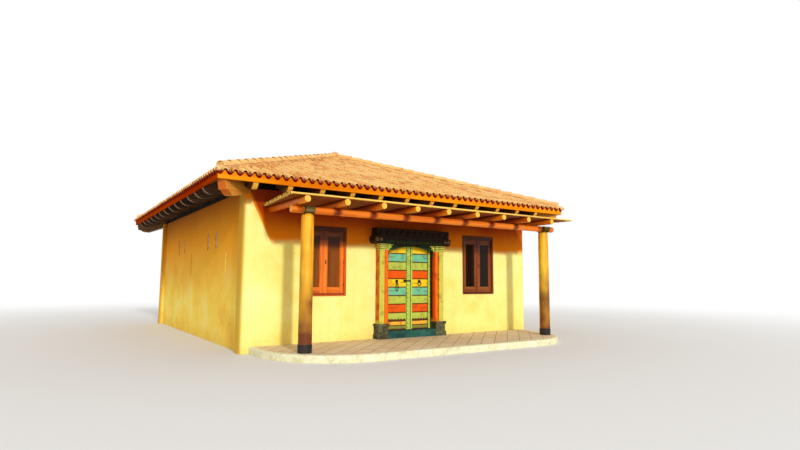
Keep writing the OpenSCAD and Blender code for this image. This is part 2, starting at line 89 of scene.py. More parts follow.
CAD_BOX = [list(c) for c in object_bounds()]
FRONT = box("front_wall_left")[LOW][1]
HALF_WIDTH = box("front_wall_right")[HIGH][0]
WALL_TOP = box("front_wall_left")[HIGH][2]
WALL = box("front_wall_left")[HIGH][1] - FRONT
SIDE_FACE = box("right_wall")[HIGH][0]
FACADE = (box("door_threshold")[LOW][0] + box("door_threshold")[HIGH][0]) / 2
OPENING = FACADE - box("front_wall_left")[HIGH][0]
HEAD_TOP = box("front_wall_over_door")[LOW][2]
EAVE = box("fascia_boards")[HIGH][:2]
TILE_POINTS = node_points("tiles_front")
LIP = -EAVE[1] - TILE_POINTS[:, 1].min()
LIP_TOP = TILE_POINTS[TILE_POINTS[:, 1] < TILE_POINTS[:, 1].min() + 1e-4, 2].max()
APEX = TILE_POINTS[:, 2].max()
SLOPE = (APEX - LIP_TOP) / (min(EAVE) + LIP)
EAVE_TOP = LIP_TOP + LIP * SLOPE
PITCH = math.atan(SLOPE)


# colours
def linear(code):
    """A colour written as sRGB hex, turned to the linear values that Blender wants. A colour that is
    linear already passes through."""
    if not isinstance(code, str):
        return code
    parts = [int(code[i:i + 2], 16) / 255 for i in (1, 3, 5)]
    return tuple(c / 12.92 if c <= 0.04045 else ((c + 0.055) / 1.055) ** 2.4 for c in parts) + (1.0,)


def colour(name, description, code):
    """A colour that a user can change."""
    return bpy.props.FloatVectorProperty(name=name, description=description, subtype="COLOR", size=4,
                                         min=0, max=1, default=linear(code))


def length(name, description, metres):
    """A length that a user can change."""
    return bpy.props.FloatProperty(name=name, description=description, unit="LENGTH", default=metres, min=0)


class WallFinish(bpy.types.PropertyGroup):
    """The lime wash on the adobe."""
    body: colour("Lime wash", "The sun-bleached wash over most of the front and back", "#FDED84")
    pale: colour("Thick wash", "Patches where the wash lies thick", "#FFF6A2")
    deep: colour("Thin wash", "Patches where the clay shows through", "#F2D254")
    # painted shade: the side wash is a darker, more amber copy of the front wash
    side: colour("Side wash", "The wash on the side walls, which the sun reaches less", "#FFD64C")
    # painted shade: the darker wash under the porch and the eaves
    porch_and_eave_shade: colour("Wash in painted shade", "The unbleached wash high up under the roof", "#E88206")
    ripple: length("Trowel ripple", "How far the trowelled face swells and sinks", 0.005)
    edge: length("Edge radius", "Radius of the hand-rounded edges of the openings", 0.022)
    corner: length("Corner radius", "Radius of the hand-rounded corners of the house", 0.12)


class RoofTiles(bpy.types.PropertyGroup):
    """The barrel tiles."""
    pitch: length("Column spacing", "Distance from one row of channel tiles to the next", 0.2)
    exposure: length("Exposure", "How much of each tile shows up the slope", 0.345)
    size: length("Tile length", "Length of one tile", 0.42)
    radius: length("Tile radius", "Radius of a tile's wide end", 0.083)
    thickness: length("Tile thickness", "Thickness of the fired clay", 0.014)
    clay: colour("Fired clay", "The commonest tile colour", "#F0BC6A")
    burnt: colour("Hard-fired clay", "Tiles from the hottest part of the kiln", "#D98A4A")
    # painted shade, partly also clay colour: the dark red of the eave channels and of the valleys between
    # covers
    channel: colour("Eave channels", "The channel tiles that hang over the eaves", "#8A1A08")


class DoorPaint(bpy.types.PropertyGroup):
    """The old paint on the door and its surround."""
    yellow: colour("Yellow boards", "Old yellow paint", "#F8CA1E")
    turquoise: colour("Turquoise boards", "Old turquoise paint", "#70C092")
    leaf_green: colour("Green boards", "Old pale green paint", "#B6C44A")
    orange: colour("Orange boards", "Old orange-red paint", "#E85604")
    olive: colour("Bottom board", "Old olive paint", "#8C8A34")
    stile: colour("Stiles", "Old lime green paint on the stiles", "#B6D258")
    ledge: colour("Ledges", "Dark oiled wood between the boards", "#5A2E16")


class StageSettings(bpy.types.PropertyGroup):
    """Camera and light."""
    place: bpy.props.FloatVectorProperty(name="Camera place", description="Where the camera stands",
                                         subtype="TRANSLATION", unit="LENGTH",
                                         default=(-7.919, -16.444, 1.6))
    yaw: bpy.props.FloatProperty(name="Yaw", description="Turn of the view to the right of +Y",
                                 subtype="ANGLE", unit="ROTATION", default=math.radians(33.62))
    lift: bpy.props.FloatProperty(name="Lift", description="How far the view points above level",
                                  subtype="ANGLE", unit="ROTATION", default=math.radians(5.904))
    roll: bpy.props.FloatProperty(name="Roll", description="Roll of the camera",
                                  subtype="ANGLE", unit="ROTATION", default=math.radians(0.305))
    lens: bpy.props.FloatProperty(name="Lens", description="Focal length on a 36 mm sensor",
                                  unit="CAMERA", default=23.985)
    sky: bpy.props.FloatProperty(name="Sky light", description="Strength of the even light", default=0.74)
    key: bpy.props.FloatProperty(name="Key light", description="Strength of the soft key light", default=1.95)


class HouseSettings(bpy.types.PropertyGroup):
    """Everything that a user would change."""
    walls: bpy.props.PointerProperty(type=WallFinish)
    tiles: bpy.props.PointerProperty(type=RoofTiles)
    door: bpy.props.PointerProperty(type=DoorPaint)
    stage: bpy.props.PointerProperty(type=StageSettings)


# shapes
def spots(x, y, z):
    """Points from their three coordinates, each of them a number or an array."""
    return np.stack(np.broadcast_arrays(x, y, z), -1)


def turns(count):
    """Angles spaced evenly round a full turn."""
    return np.arange(count) / count * 2 * math.pi


class Shell:
    """A closed form: its points, its faces, and a tone, a core value and a paint for each point."""

    def __init__(self, points, faces, tone=0.5, core=1.0, paint=PLAIN):
        self.points = np.asarray(points, float).reshape(-1, 3)
        self.faces = [np.asarray(f, int) for f in faces]
        count = len(self.points)
        self.tone, self.core = (np.broadcast_to(np.ravel(value), (count,)) for value in (tone, core))
        self.paint = np.broadcast_to(np.asarray(linear(paint), float), (count, 4))

    def outward(self):
        """Turns all faces round where the form's signed volume comes out negative."""
        volume = 0.0
        for faces in self.faces:
            p = self.points[faces]
            for k in range(1, faces.shape[1] - 1):
                volume += np.einsum("ij,ij->", p[:, 0], np.cross(p[:, k], p[:, k + 1]))
        if volume < 0:
            self.faces = [f[:, ::-1] for f in self.faces]
        return self

    def moved(self, matrix=None, shift=(0, 0, 0)):
        """The same form turned by a 3 by 3 matrix and shifted."""
        points = self.points if matrix is None else self.points @ np.asarray(matrix).T
        return Shell(points + np.asarray(shift), self.faces, self.tone, self.core, self.paint).outward()


def quarter_turn(k):
    """Matrix of k quarter turns about +Z: 0 front, 1 right, 2 back, 3 left, as in the frame."""
    c, s = round(math.cos(k * math.pi / 2)), round(math.sin(k * math.pi / 2))
    return np.array([[c, -s, 0], [s, c, 0], [0, 0, 1]])


def grid_faces(n, m, close_n=False, close_m=False):
    """Faces of an n by m grid of points, with the last row or column joined to the first if closed."""
    index = np.arange(n * m).reshape(n, m)
    i = np.arange(n if close_n else n - 1)[:, None]
    j = np.arange(m if close_m else m - 1)[None, :]
    a, b = index[i, j], index[(i + 1) % n, j]
    c, d = index[(i + 1) % n, (j + 1) % m], index[i, (j + 1) % m]
    return np.stack([a, b, c, d], -1).reshape(-1, 4)


def loft(rings, tone=0.5, paint=PLAIN):
    """Rings of points R[i, j], each joined to the next, with the first and last ring closed by a
    fan to its middle: core is 0 in the middle of an end and 1 everywhere else."""
    rings = np.asarray(rings, float)
    n, m = rings.shape[:2]
    sides = grid_faces(n, m, close_m=True)
    j = np.arange(m)
    first = spots(n * m, (j + 1) % m, j)
    last = spots(n * m + 1, (n - 1) * m + j, (n - 1) * m + (j + 1) % m)
    points = np.concatenate([rings.reshape(-1, 3), rings[0].mean(0)[None], rings[-1].mean(0)[None]])
    core = np.append(np.ones(n * m), [0, 0])
    if np.size(tone) == n * m:
        tone = np.append(np.ravel(tone), [np.ravel(tone)[0], np.ravel(tone)[-1]])
    return Shell(points, [sides, np.concatenate([first, last])], tone, core, paint).outward()


def torus(rings, tone=0.5, paint=PLAIN):
    """Rings of points joined round both ways, such as a mitred frame or a knocker's ring."""
    rings = np.asarray(rings, float)
    return Shell(rings.reshape(-1, 3), [grid_faces(*rings.shape[:2], True, True)], tone, 1.0, paint).outward()


def tube(rings, tone=0.5, paint=PLAIN):
    """Rings of points, each joined to the next, with one flat face at each end."""
    rings = np.asarray(rings, float)
    n, m = rings.shape[:2]
    ends = [np.arange(m)[::-1][None], (np.arange(m) + (n - 1) * m)[None]]
    return Shell(rings.reshape(-1, 3), [grid_faces(n, m, close_m=True)] + ends, tone, 1.0, paint).outward()


def slab(outline, near, far, axis=1, tone=0.5, paint=PLAIN):
    """A flat outline carried along one axis: x = o(s)[0], z = o(s)[1], y from near to far."""
    rings = np.zeros((2, len(outline), 3))
    rings[:, :, [a for a in range(3) if a != axis]] = outline
    rings[:, :, axis] = [[near], [far]]
    return tube(rings, tone, paint)


def bar(low, high, axis, radius=0.004, tone=0.5, paint=PLAIN):
    """A planed bar between any two opposite corners: its section is a rectangle with quarter-round
    edges, carried along one axis and drawn in a little at both ends."""
    low, high = np.sort(np.array([low, high], float), 0)
    across = [k for k in range(3) if k != axis]
    mid, half = ((low + high) / 2)[across], ((high - low) / 2)[across]
    radius = min(radius, *(half * 0.9))
    quarter = np.linspace(0, math.pi / 2, 4)
    a = np.concatenate([quarter + q * math.pi / 2 for q in range(4)])[:, None]
    sign = np.repeat([[1, 1], [-1, 1], [-1, -1], [1, -1]], 4, 0)
    section = sign * (half - radius) + radius * np.hstack([np.cos(a), np.sin(a)])
    small = section * (1 - radius * 0.5 / half)
    rings = np.zeros((4, 16, 3))
    stations = [low[axis], low[axis] + radius / 2, high[axis] - radius / 2, high[axis]]
    rings[:, :, axis] = np.array(stations)[:, None]
    rings[:, :, across] = mid + np.array([small, section, section, small])
    return loft(rings, tone, paint)


def round_bar(path, radii, side, up, around=16, tone=0.5, paint=PLAIN):
    """A round bar along a path: P(t) + r(t, a) * (cos a * side + sin a * up), closed at both ends."""
    path, radii, angle = np.asarray(path, float), np.asarray(radii, float), turns(around)
    radii = radii[:, None] if radii.ndim == 1 else radii
    out = np.cos(angle)[:, None] * side + np.sin(angle)[:, None] * up
    return loft(path[:, None, :] + radii[:, :, None] * out[None], tone, paint)


def repeated(faces, count, size):
    """The faces of one form, for many copies of it whose points follow one another."""
    return (faces + (np.arange(count) * size)[:, None, None]).reshape(-1, faces.shape[1])


def copies(form, shifts):
    """One form repeated at many places in one go."""
    shifts = np.asarray(shifts, float).reshape(-1, 3)
    count, size = len(shifts), len(form.points)
    points = form.points[None] + shifts[:, None]
    faces = [repeated(f, count, size) for f in form.faces]
    return Shell(points, faces, np.tile(form.tone, count), np.tile(form.core, count),
                 np.tile(form.paint, (count, 1)))


def rounds(path, normal, radius, around):
    """Rings round a path that keeps to one y: P + r (cos a * normal + sin a * Y)."""
    a = turns(around)[:, None]
    return path[:, None] + radius * (np.cos(a) * normal[:, None] + np.sin(a) * Y)


def dome(radius, height, facing, around=10, paint=PLAIN):
    """A nail head or knob at the origin: r(t) = R cos t, h(t) = H sin t, closed at the back."""
    side = np.roll(facing, -1)
    t = np.radians([0, 0, 30, 58, 80])
    path = facing * (height * np.sin(t) - np.array([height * 0.3, 0, 0, 0, 0]))[:, None]
    return round_bar(path, radius * np.cos(t), side, np.cross(facing, side), around, paint=paint)


def rosette(radius, height, petals=8, paint=PLAIN):
    """A carved flower that faces -Y at the origin: h(r, a) = H (1 - r^2)(0.55 + 0.45 cos(n a)), with a
    round boss in the middle."""
    r = np.array([1.0, 1.0, 0.86, 0.66, 0.46, 0.32, 0.3, 0.16])[:, None]
    a = turns(petals * 4)[None]
    rise = height * (1 - r ** 2) * (0.55 + 0.45 * np.cos(petals * a)) * (r > 0.31)
    rise += (r <= 0.31) * height * (1.1 - r)
    rise[0] = -height * 0.4
    edge = radius * r * (1 - 0.1 * (r > 0.8) * (1 - np.cos(petals * a)))
    return loft(spots(edge * np.cos(a), -rise, edge * np.sin(a)), paint=paint)


def arc(centre, radius, start, end, count):
    """Points on an arc, with angles in degrees."""
    a = np.radians(np.linspace(start, end, count))
    return np.stack([centre[0] + radius * np.cos(a), centre[1] + radius * np.sin(a)], -1)


def hand_wave(u, v, seed):
    """A slow unevenness between about -1 and 1: the sum of five sines that never line up."""
    k = np.array([[1.9, 1.3], [-2.7, 2.1], [4.3, -3.1], [6.1, 5.3], [-11.0, 9.0]])
    weight = np.array([0.34, 0.26, 0.2, 0.13, 0.07])
    phase = seed * np.array([1.7, 2.9, 4.1, 5.3, 6.7])
    return sum(w * np.sin(a * u + b * v + p) for w, (a, b), p in zip(weight, k, phase))


def attribute(mesh, key, domain, values):
    """Writes one number, or one colour, for each point, face or corner of a mesh."""
    values = np.asarray(values, np.float32)
    kind, field = ("FLOAT", "value") if values.ndim == 1 else ("FLOAT_COLOR", "color")
    mesh.attributes.new(key, kind, domain).data.foreach_set(field, values.ravel())


def settle(name, mesh, material, stands_for, body, sharp, bevel, segments):
    """Makes the mesh one smooth piece with sharp edges, and lets it ride on a body."""
    mesh.materials.clear()
    mesh.materials.append(material)
    mesh.polygons.foreach_set("use_smooth", np.ones(len(mesh.polygons), bool))
    mesh.set_sharp_from_angle(angle=math.radians(sharp))
    piece = bpy.data.objects.new(name, mesh)
    bpy.context.scene.collection.objects.link(piece)
    if bevel:
        rounding = piece.modifiers.new("Rounded edges", "BEVEL")
        rounding.width, rounding.segments = bevel, segments
        rounding.limit_method, rounding.angle_limit = "ANGLE", math.radians(50)
    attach(piece, body)
    if stands_for:
        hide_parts(*stands_for)


def make(name, shells, material, stands_for=(), body="house", sharp=38, bevel=0.0):
    """Joins the shells into one piece, with its place in its mesh."""
    shells = shells if isinstance(shells, list) else [shells]
    offsets = np.cumsum([0] + [len(s.points) for s in shells])
    points = np.concatenate([s.points for s in shells])
    faces = [part + offset for s, offset in zip(shells, offsets) for part in s.faces]
    loops = np.concatenate([part.ravel() for part in faces])
    counts = np.concatenate([np.full(len(part), part.shape[1]) for part in faces])
    mesh = bpy.data.meshes.new(name)
    mesh.vertices.add(len(points))
    mesh.vertices.foreach_set("co", points.ravel())
    mesh.loops.add(len(loops))
    mesh.loops.foreach_set("vertex_index", loops.astype(np.int32))
    mesh.polygons.add(len(counts))
    mesh.polygons.foreach_set("loop_start", np.append(0, np.cumsum(counts)[:-1]).astype(np.int32))
    mesh.update(calc_edges=True)
    if mesh.validate():
        raise RuntimeError(f"{name} has faces that don't hold together")
    for key in ("tone", "core", "paint"):
        attribute(mesh, key, "POINT", np.concatenate([getattr(s, key) for s in shells]))
    settle(name, mesh, material, stands_for, body, sharp, bevel, 3)


def cover(nodes, material):
    """Gives CAD nodes whose shape is right their finish."""
    for node in nodes:
        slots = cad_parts[node].material_slots
        if not slots:
            raise RuntimeError(f"{node} has no material slot")
        for place in slots:
            place.material = material


def dress(node, material, front=PLAIN, side=None, ends=None, bevel=0.006, rear=PLAIN):
    """A copy of a CAD node, merged and given rounded edges. Its paint is one colour, or another on
    faces that look sideways, times another for the faces at the back of the house; core is 0.5 on
    faces that look outward along ends, and 1 elsewhere."""
    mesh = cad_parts[node].data.copy()
    form = bmesh.new()
    form.from_mesh(mesh)
    bmesh.ops.remove_doubles(form, verts=form.verts, dist=1e-5)
    bmesh.ops.dissolve_limit(form, angle_limit=math.radians(0.5), verts=form.verts, edges=form.edges)
    form.to_mesh(mesh)
    form.free()
    normals, middles = np.zeros((2, len(mesh.polygons) * 3))
    mesh.polygons.foreach_get("normal", normals)
    mesh.polygons.foreach_get("center", middles)
    normals, middles = normals.reshape(-1, 3), middles.reshape(-1, 3)
    core = np.ones(len(normals))
    if ends is not None:
        outward = np.sign(middles) * np.asarray(ends, float)
        core = np.where((normals * outward).sum(1) / np.linalg.norm(ends) > 0.25, 0.5, 1.0)
    sideways = np.abs(normals[:, :1]) > 0.72
    paint = np.where(sideways, linear(side or front), linear(front))
    paint = paint * np.where(middles[:, 1:2] > 0, rear, PLAIN)
    attribute(mesh, "core", "FACE", core)
    attribute(mesh, "tone", "FACE", core * 0 + 0.5)
    attribute(mesh, "paint", "CORNER", np.repeat(paint, [p.loop_total for p in mesh.polygons], 0))
    settle(node + "_dressed", mesh, material, [node], "house", 30, bevel, 2)


# finishes
def add(tree, kind, *values, take=0, stops=(), **named):
    """Adds one node and gives back one output. Its kind may be followed by its operation. The values
    fill its open sockets in order, a name that starts with a capital is the socket of that name, and
    any other name is a setting. A string is a colour, and Mix mixes colours. Map Range takes the
    value, the two ends of its range and the two that they turn into."""
    kind, *mode = kind.split()
    node = tree.nodes.new("ShaderNode" + kind)
    if kind == "Mix":
        node.data_type = "RGBA"
    for value in mode:
        setattr(node, "blend_type" if kind == "Mix" else "operation", value)
    for key in [k for k in named if k.islower()]:
        setattr(node, key, named.pop(key))
    open_sockets = [socket for socket in node.inputs if socket.enabled]
    by_name = {socket.name: socket for socket in open_sockets}
    pairs = list(zip(open_sockets, values)) + [(by_name[k.replace("_", " ")], v) for k, v in named.items()]
    for socket, value in pairs:
        if isinstance(value, bpy.types.NodeSocket):
            tree.links.new(value, socket)
        else:
            socket.default_value = linear(value)
    for i, (place, tint) in enumerate(stops):
        element = node.color_ramp.elements[i] if i < 2 else node.color_ramp.elements.new(place)
        element.position, element.color = place, linear(tint)
    return node.outputs[take] if take else [socket for socket in node.outputs if socket.enabled][0]


def new_finish(name, specular=0.5, coat=0.0, coat_roughness=0.1, metallic=0.0):
    """An empty finish with its constant values set on the shader itself. Gives back the material,
    its node tree, and the piece's own coordinates."""
    material = bpy.data.materials.new(name)
    material.use_nodes = True
    tree = material.node_tree
    sockets = tree.nodes["Principled BSDF"].inputs
    for key, value in (("Specular IOR Level", specular), ("Coat Weight", coat), ("Metallic", metallic),
                       ("Coat Roughness", coat_roughness)):
        sockets[key].default_value = value
    return material, tree, add(tree, "TexCoord", take="Object")


def wire(material, tint, roughness, height=None, depth=0.002):
    """Links colour and roughness, and a height field as a bump of that depth in metres, and gives
    back the finished material."""
    tree = material.node_tree
    sockets = tree.nodes["Principled BSDF"].inputs
    tree.links.new(tint, sockets["Base Color"])
    if isinstance(roughness, bpy.types.NodeSocket):
        tree.links.new(roughness, sockets["Roughness"])
    else:
        sockets["Roughness"].default_value = roughness
    if height is not None:
        tree.links.new(add(tree, "Bump", Height=height, Distance=depth), sockets["Normal"])
    return material


def lime_wash(name, front, side):
    """Lime wash brushed over hand-trowelled clay plaster: matt and faintly cloudy, paler where it
    lies thick, with faint run-down streaks and a dusty band where rain splashes up from the ground.
    Front and side are each a body, a pale and a deep colour, and zones of height (low, high, colour) painted
    darker as shade under the porch and the eaves; the side colours, a darker copy painted as shade, begin at
    the corners of the house."""
    material, tree, at = new_finish(name, specular=0.1)
    cloud = add(tree, "TexNoise", at, Scale=0.9, Detail=4.0, Roughness=0.6)
    fine = add(tree, "TexNoise", at, Scale=9.0, Detail=5.0, Roughness=0.65)
    soft = add(tree, "MapRange", fine, 0.35, 0.75, 0, 0.35)
    runs = add(tree, "Mapping", at, Scale=(7.0, 7.0, 0.35))
    runs = add(tree, "TexNoise", runs, Scale=1.0, Detail=3.0)
    runs = add(tree, "MapRange", runs, 0.52, 0.75, 0, 0.2)
    place = add(tree, "SeparateXYZ", at).node.outputs
    across = add(tree, "Math ABSOLUTE", place["X"])
    # painted shade, for the shadows of the porch and the eaves: the porch's shade covers the front down to
    # 2.5 m, to the right of a line that leans in by 0.37 m to the metre from the left end of its canes, and
    # the eaves' shade covers everything above 3.2 m
    lean = add(tree, "Math MULTIPLY_ADD", place["Z"], 0.37, place["X"])
    porch = add(tree, "MapRange", lean, -2.94, -2.82)
    near = add(tree, "Math LESS_THAN", place["Y"], FRONT + 0.1)
    porch = add(tree, "Math MULTIPLY", porch, near)
    level = add(tree, "Math MULTIPLY_ADD", porch, 0.87, place["Z"])
    level = add(tree, "Math MULTIPLY_ADD", cloud, 0.3, level)
    faces = []
    for body, pale, deep, zones in (front, side):
        tint = add(tree, "ValToRGB", cloud, stops=[(0.24, deep), (0.48, body), (0.72, pale)])
        tint = add(tree, "Mix", soft, tint, pale)
        tint = add(tree, "Mix", runs, tint, deep)
        for low, high, shade in zones:
            under = add(tree, "MapRange", level, low, high, interpolation_type="SMOOTHSTEP")
            tint = add(tree, "Mix", under, tint, shade)
        faces.append(tint)
    # the side walls take the side colours, a darker copy that stands for shade
    turned = add(tree, "MapRange", across, SIDE_FACE - 0.04, SIDE_FACE - 0.01)
    back = add(tree, "Math ABSOLUTE", place["Y"])
    back = add(tree, "MapRange", back, -FRONT - 0.01, -FRONT - 0.07)
    turned = add(tree, "Math MULTIPLY", turned, back)
    tint = add(tree, "Mix", turned, faces[0], faces[1])
    # painted shade: the sides of the piers that stand out at the four corners are darker
    pier_shade = add(tree, "MapRange", across, SIDE_FACE + 0.03, SIDE_FACE + 0.08, 0, 0.75)
    pier_shade = add(tree, "Math MULTIPLY", pier_shade, back)
    tint = add(tree, "Mix", pier_shade, tint, "#C89C34")
    # rain splash reaches about 350 mm up the wall
    splash = add(tree, "Math MULTIPLY_ADD", fine, 0.5, place["Z"])
    splash = add(tree, "MapRange", splash, 0.62, 0.22, 0, 0.4)
    tint = add(tree, "Mix", splash, tint, "#DDB04A")
    hollows = add(tree, "TexNoise", at, Scale=3.4, Detail=2.0, Distortion=1.2)
    sand = add(tree, "TexNoise", at, Scale=60.0, Detail=4.0)
    relief = add(tree, "Math MULTIPLY_ADD", sand, 0.12, hollows)
    return wire(material, tint, 0.88, relief, 0.012)


def grain_place(tree, at, along):
    """The piece's coordinates squeezed along the grain, so that a spot becomes a streak 25 times its
    width. Along is x, y or z, run for boards that lie along either side of the roof, or hip."""
    if along in "xyz":
        scale = [1.0, 1.0, 1.0]
        scale["xyz".index(along)] = 0.04
        return add(tree, "Mapping", at, Scale=scale)
    parts = add(tree, "SeparateXYZ", at).node.outputs
    x, y = parts["X"], parts["Y"]
    far_x = add(tree, "Math ABSOLUTE", x)
    far_y = add(tree, "Math ABSOLUTE", y)
    if along == "run":
        far_y = add(tree, "Math SUBTRACT", far_y, EAVE[1] - EAVE[0])
        level = add(tree, "Math MAXIMUM", far_x, far_y)
    else:
        x, y = far_x, far_y
        level = add(tree, "Math SUBTRACT", x, y)
    reach = add(tree, "Math ADD", x, y)
    reach = add(tree, "Math MULTIPLY", reach, 0.04)
    return add(tree, "CombineXYZ", level, reach, parts["Z"])


def timber(name, pale, body, dark, along, streak_mm=55, rough=0.5, coat=0.0, end=None, foot=None, head=None,
           shine=0.25, stain=None):
    """Sawn or peeled timber under oil or varnish: long streaks that follow the grain, drawn wider
    than real growth rings so that they show, a few dark checks, and a paler or darker end grain.
    Paint deepens parts of a piece, and core tells the sawn ends from the rest. Foot, head and stain are
    darker colours for the lowest part, for painted shade under the porch, and for patches."""
    material, tree, flat = new_finish(name, specular=shine, coat=coat, coat_roughness=0.25)
    at = grain_place(tree, flat, along)
    wide = add(tree, "TexNoise", at, Scale=1000 / streak_mm / 2, Detail=3.0, Roughness=0.6)
    tint = add(tree, "ValToRGB", wide, stops=[(0.3, dark), (0.48, body), (0.7, pale)])
    rings = add(tree, "TexNoise", at, Scale=5000 / streak_mm, Detail=4.0)
    lines = add(tree, "MapRange", rings, 0.45, 0.7, 0, 0.4)
    tint = add(tree, "Mix", lines, tint, dark)
    blotch = add(tree, "TexNoise", flat, Scale=1.6, Detail=2.0)
    blotch = add(tree, "MapRange", blotch, 0.4, 0.7, 0, 0.8 if stain else 0.35)
    tint = add(tree, "Mix", blotch, tint, stain or body)
    if foot is not None:
        up = add(tree, "SeparateXYZ", flat, take="Z")
        up = add(tree, "Math MULTIPLY_ADD", blotch, 1.2, up)
        damp = add(tree, "MapRange", up, 2.15, 1.0, 0, 1.0)
        tint = add(tree, "Mix", damp, tint, foot)
    if head is not None:
        # painted shade: the porch's shadow darkens the upper part of the front windows, and all of the far
        # one
        parts = add(tree, "SeparateXYZ", flat).node.outputs
        front = add(tree, "Math LESS_THAN", parts["Y"], 0.0)
        high = add(tree, "MapRange", parts["Z"], 2.38, 2.56, 0, 0.85)
        far = add(tree, "MapRange", parts["X"], FACADE, FACADE + 0.1, 0, 0.7)
        high = add(tree, "Math MAXIMUM", high, far)
        high = add(tree, "Math MULTIPLY", high, front)
        tint = add(tree, "Mix", high, tint, head)
    if end is not None:
        # saw-cut ends, where core falls below 1, with growth rings round the heart
        heart = add(tree, "Attribute", take="Fac", attribute_name="core")
        facing = add(tree, "MapRange", heart, 0.995, 0.96)
        wobble = add(tree, "TexNoise", flat, Scale=14.0, Detail=2.0)
        heart = add(tree, "Math MULTIPLY_ADD", wobble, 0.25, heart)
        growth = add(tree, "Math MULTIPLY", heart, 38.0)
        growth = add(tree, "Math SINE", growth)
        growth = add(tree, "MapRange", growth, -0.2, 1.0, 0, 0.55)
        sawn = add(tree, "Mix", growth, end, body)
        tint = add(tree, "Mix", facing, tint, sawn)
    paint = add(tree, "Attribute", take="Color", attribute_name="paint")
    tint = add(tree, "Mix MULTIPLY", 1.0, tint, paint)
    worn = add(tree, "MapRange", rings, 0, 1, rough - 0.1, rough + 0.15)
    return wire(material, tint, worn, rings, 0.003)


def plank_ceiling(name, pale, dark):
    """Stained softwood planks, 120 mm wide, laid along the eaves, with a dark open joint between."""
    material, tree, at = new_finish(name, specular=0.3)
    at = grain_place(tree, at, "run")
    across = add(tree, "SeparateXYZ", at, take="X")
    plank = add(tree, "Math MULTIPLY", across, 1 / 0.12)
    place = add(tree, "Math FRACT", plank)
    number = add(tree, "Math FLOOR", plank)
    shade = add(tree, "TexWhiteNoise", W=number, noise_dimensions="1D")
    grain = add(tree, "TexNoise", at, Scale=24.0, Detail=4.0)
    mixed = add(tree, "Math MULTIPLY_ADD", shade, 0.4, grain)
    tint = add(tree, "ValToRGB", mixed, stops=[(0.35, dark), (0.95, pale)])
    joint = add(tree, "Math LESS_THAN", place, 0.07)
    tint = add(tree, "Mix", joint, tint, "#1A0D06")
    return wire(material, tint, 0.7)


def fired_clay(name, clay, burnt, channel):
    """Hand-pressed barrel tiles, fired in a wood kiln: each tile its own tone from sand to burnt orange,
    chalky with weather, with grey lichen specks; core marks the dark eave channels, whose dark red is partly
    clay and partly painted shade."""
    material, tree, at = new_finish(name, specular=0.25)
    tone = add(tree, "Attribute", take="Fac", attribute_name="tone")
    tint = add(tree, "ValToRGB", tone,
               stops=[(0.0, "#CE8446"), (0.35, clay), (0.6, "#F2C880"), (0.8, "#E8A862"), (1.0, burnt)])
    patch = add(tree, "TexNoise", at, Scale=1.1, Detail=3.0)
    patch = add(tree, "MapRange", patch, 0.5, 0.72, 0, 0.5)
    tint = add(tree, "Mix", patch, tint, "#E0904A")
    chalk = add(tree, "TexNoise", at, Scale=13.0, Detail=4.0, Roughness=0.6)
    bloom = add(tree, "MapRange", chalk, 0.5, 0.8, 0, 0.45)
    tint = add(tree, "Mix", bloom, tint, "#F8DC9E")
    soot = add(tree, "MapRange", chalk, 0.45, 0.28, 0, 0.35)
    tint = add(tree, "Mix", soot, tint, "#8A4824")
    # painted shade: where core falls below 1 the channel colour is mixed in
    unshaded = add(tree, "Attribute", take="Fac", attribute_name="core")
    tint = add(tree, "Mix", unshaded, channel, tint)
    return wire(material, tint, 0.82, chalk, 0.003)


def worn_paint(name, wood, tint=None, wear=0.5, green=None, boards=False, shaded_behind=None):
    """Old thick paint on carved hardwood: chalky, rubbed through to dark wood in streaks along the grain. The
    colour is one tint, or the piece's own paint attribute; behind the plane y = shaded_behind the colour is
    nearly black, as painted shade."""
    material, tree, at = new_finish(name, specular=0.15)
    coat = tint or add(tree, "Attribute", take="Color", attribute_name="paint")
    cloud = add(tree, "TexNoise", at, Scale=7.0, Detail=4.0)
    fade = add(tree, "MapRange", cloud, 0.4, 0.7, 0, 0.3)
    if green is not None:
        coat = add(tree, "Mix", fade, coat, green)
    pale = add(tree, "Mix SOFT_LIGHT", fade, coat, "#F4EBC8")
    rubbed = add(tree, "Mapping", at, Scale=(6.0, 20.0, 20.0) if boards else (20.0, 20.0, 3.0))
    rubbed = add(tree, "TexNoise", rubbed, Scale=2.2, Detail=5.0, Roughness=0.7)
    grime = add(tree, "MapRange", cloud, 0.47, 0.3, 0, 0.4)
    pale = add(tree, "Mix", grime, pale, wood)
    bare = add(tree, "MapRange", rubbed, 0.58, 0.7, 0, wear)
    aged = add(tree, "Mix", bare, pale, wood)
    if shaded_behind is not None:
        # painted shade in the rebate behind the plane
        depth = add(tree, "SeparateXYZ", at).node.outputs["Y"]
        painted_shade = add(tree, "MapRange", depth, shaded_behind - 0.015, shaded_behind + 0.015, 0, 0.92)
        aged = add(tree, "Mix", painted_shade, aged, "#170C05")
    return wire(material, aged, 0.62, rubbed, 0.003)


def stone(name, pale, body, dark, grain=26.0, rough=0.85, depth=0.004):
    """Dressed or cast stone: speckled, with darker pits and weather stains."""
    material, tree, at = new_finish(name, specular=0.3)
    stain = add(tree, "TexNoise", at, Scale=3.0, Detail=4.0)
    speck = add(tree, "TexNoise", at, Scale=grain, Detail=5.0, Roughness=0.7)
    both = add(tree, "Math MULTIPLY_ADD", stain, 0.6, speck)
    tint = add(tree, "ValToRGB", both, stops=[(0.6, dark), (0.78, body), (0.98, pale)])
    return wire(material, tint, rough, speck, depth)


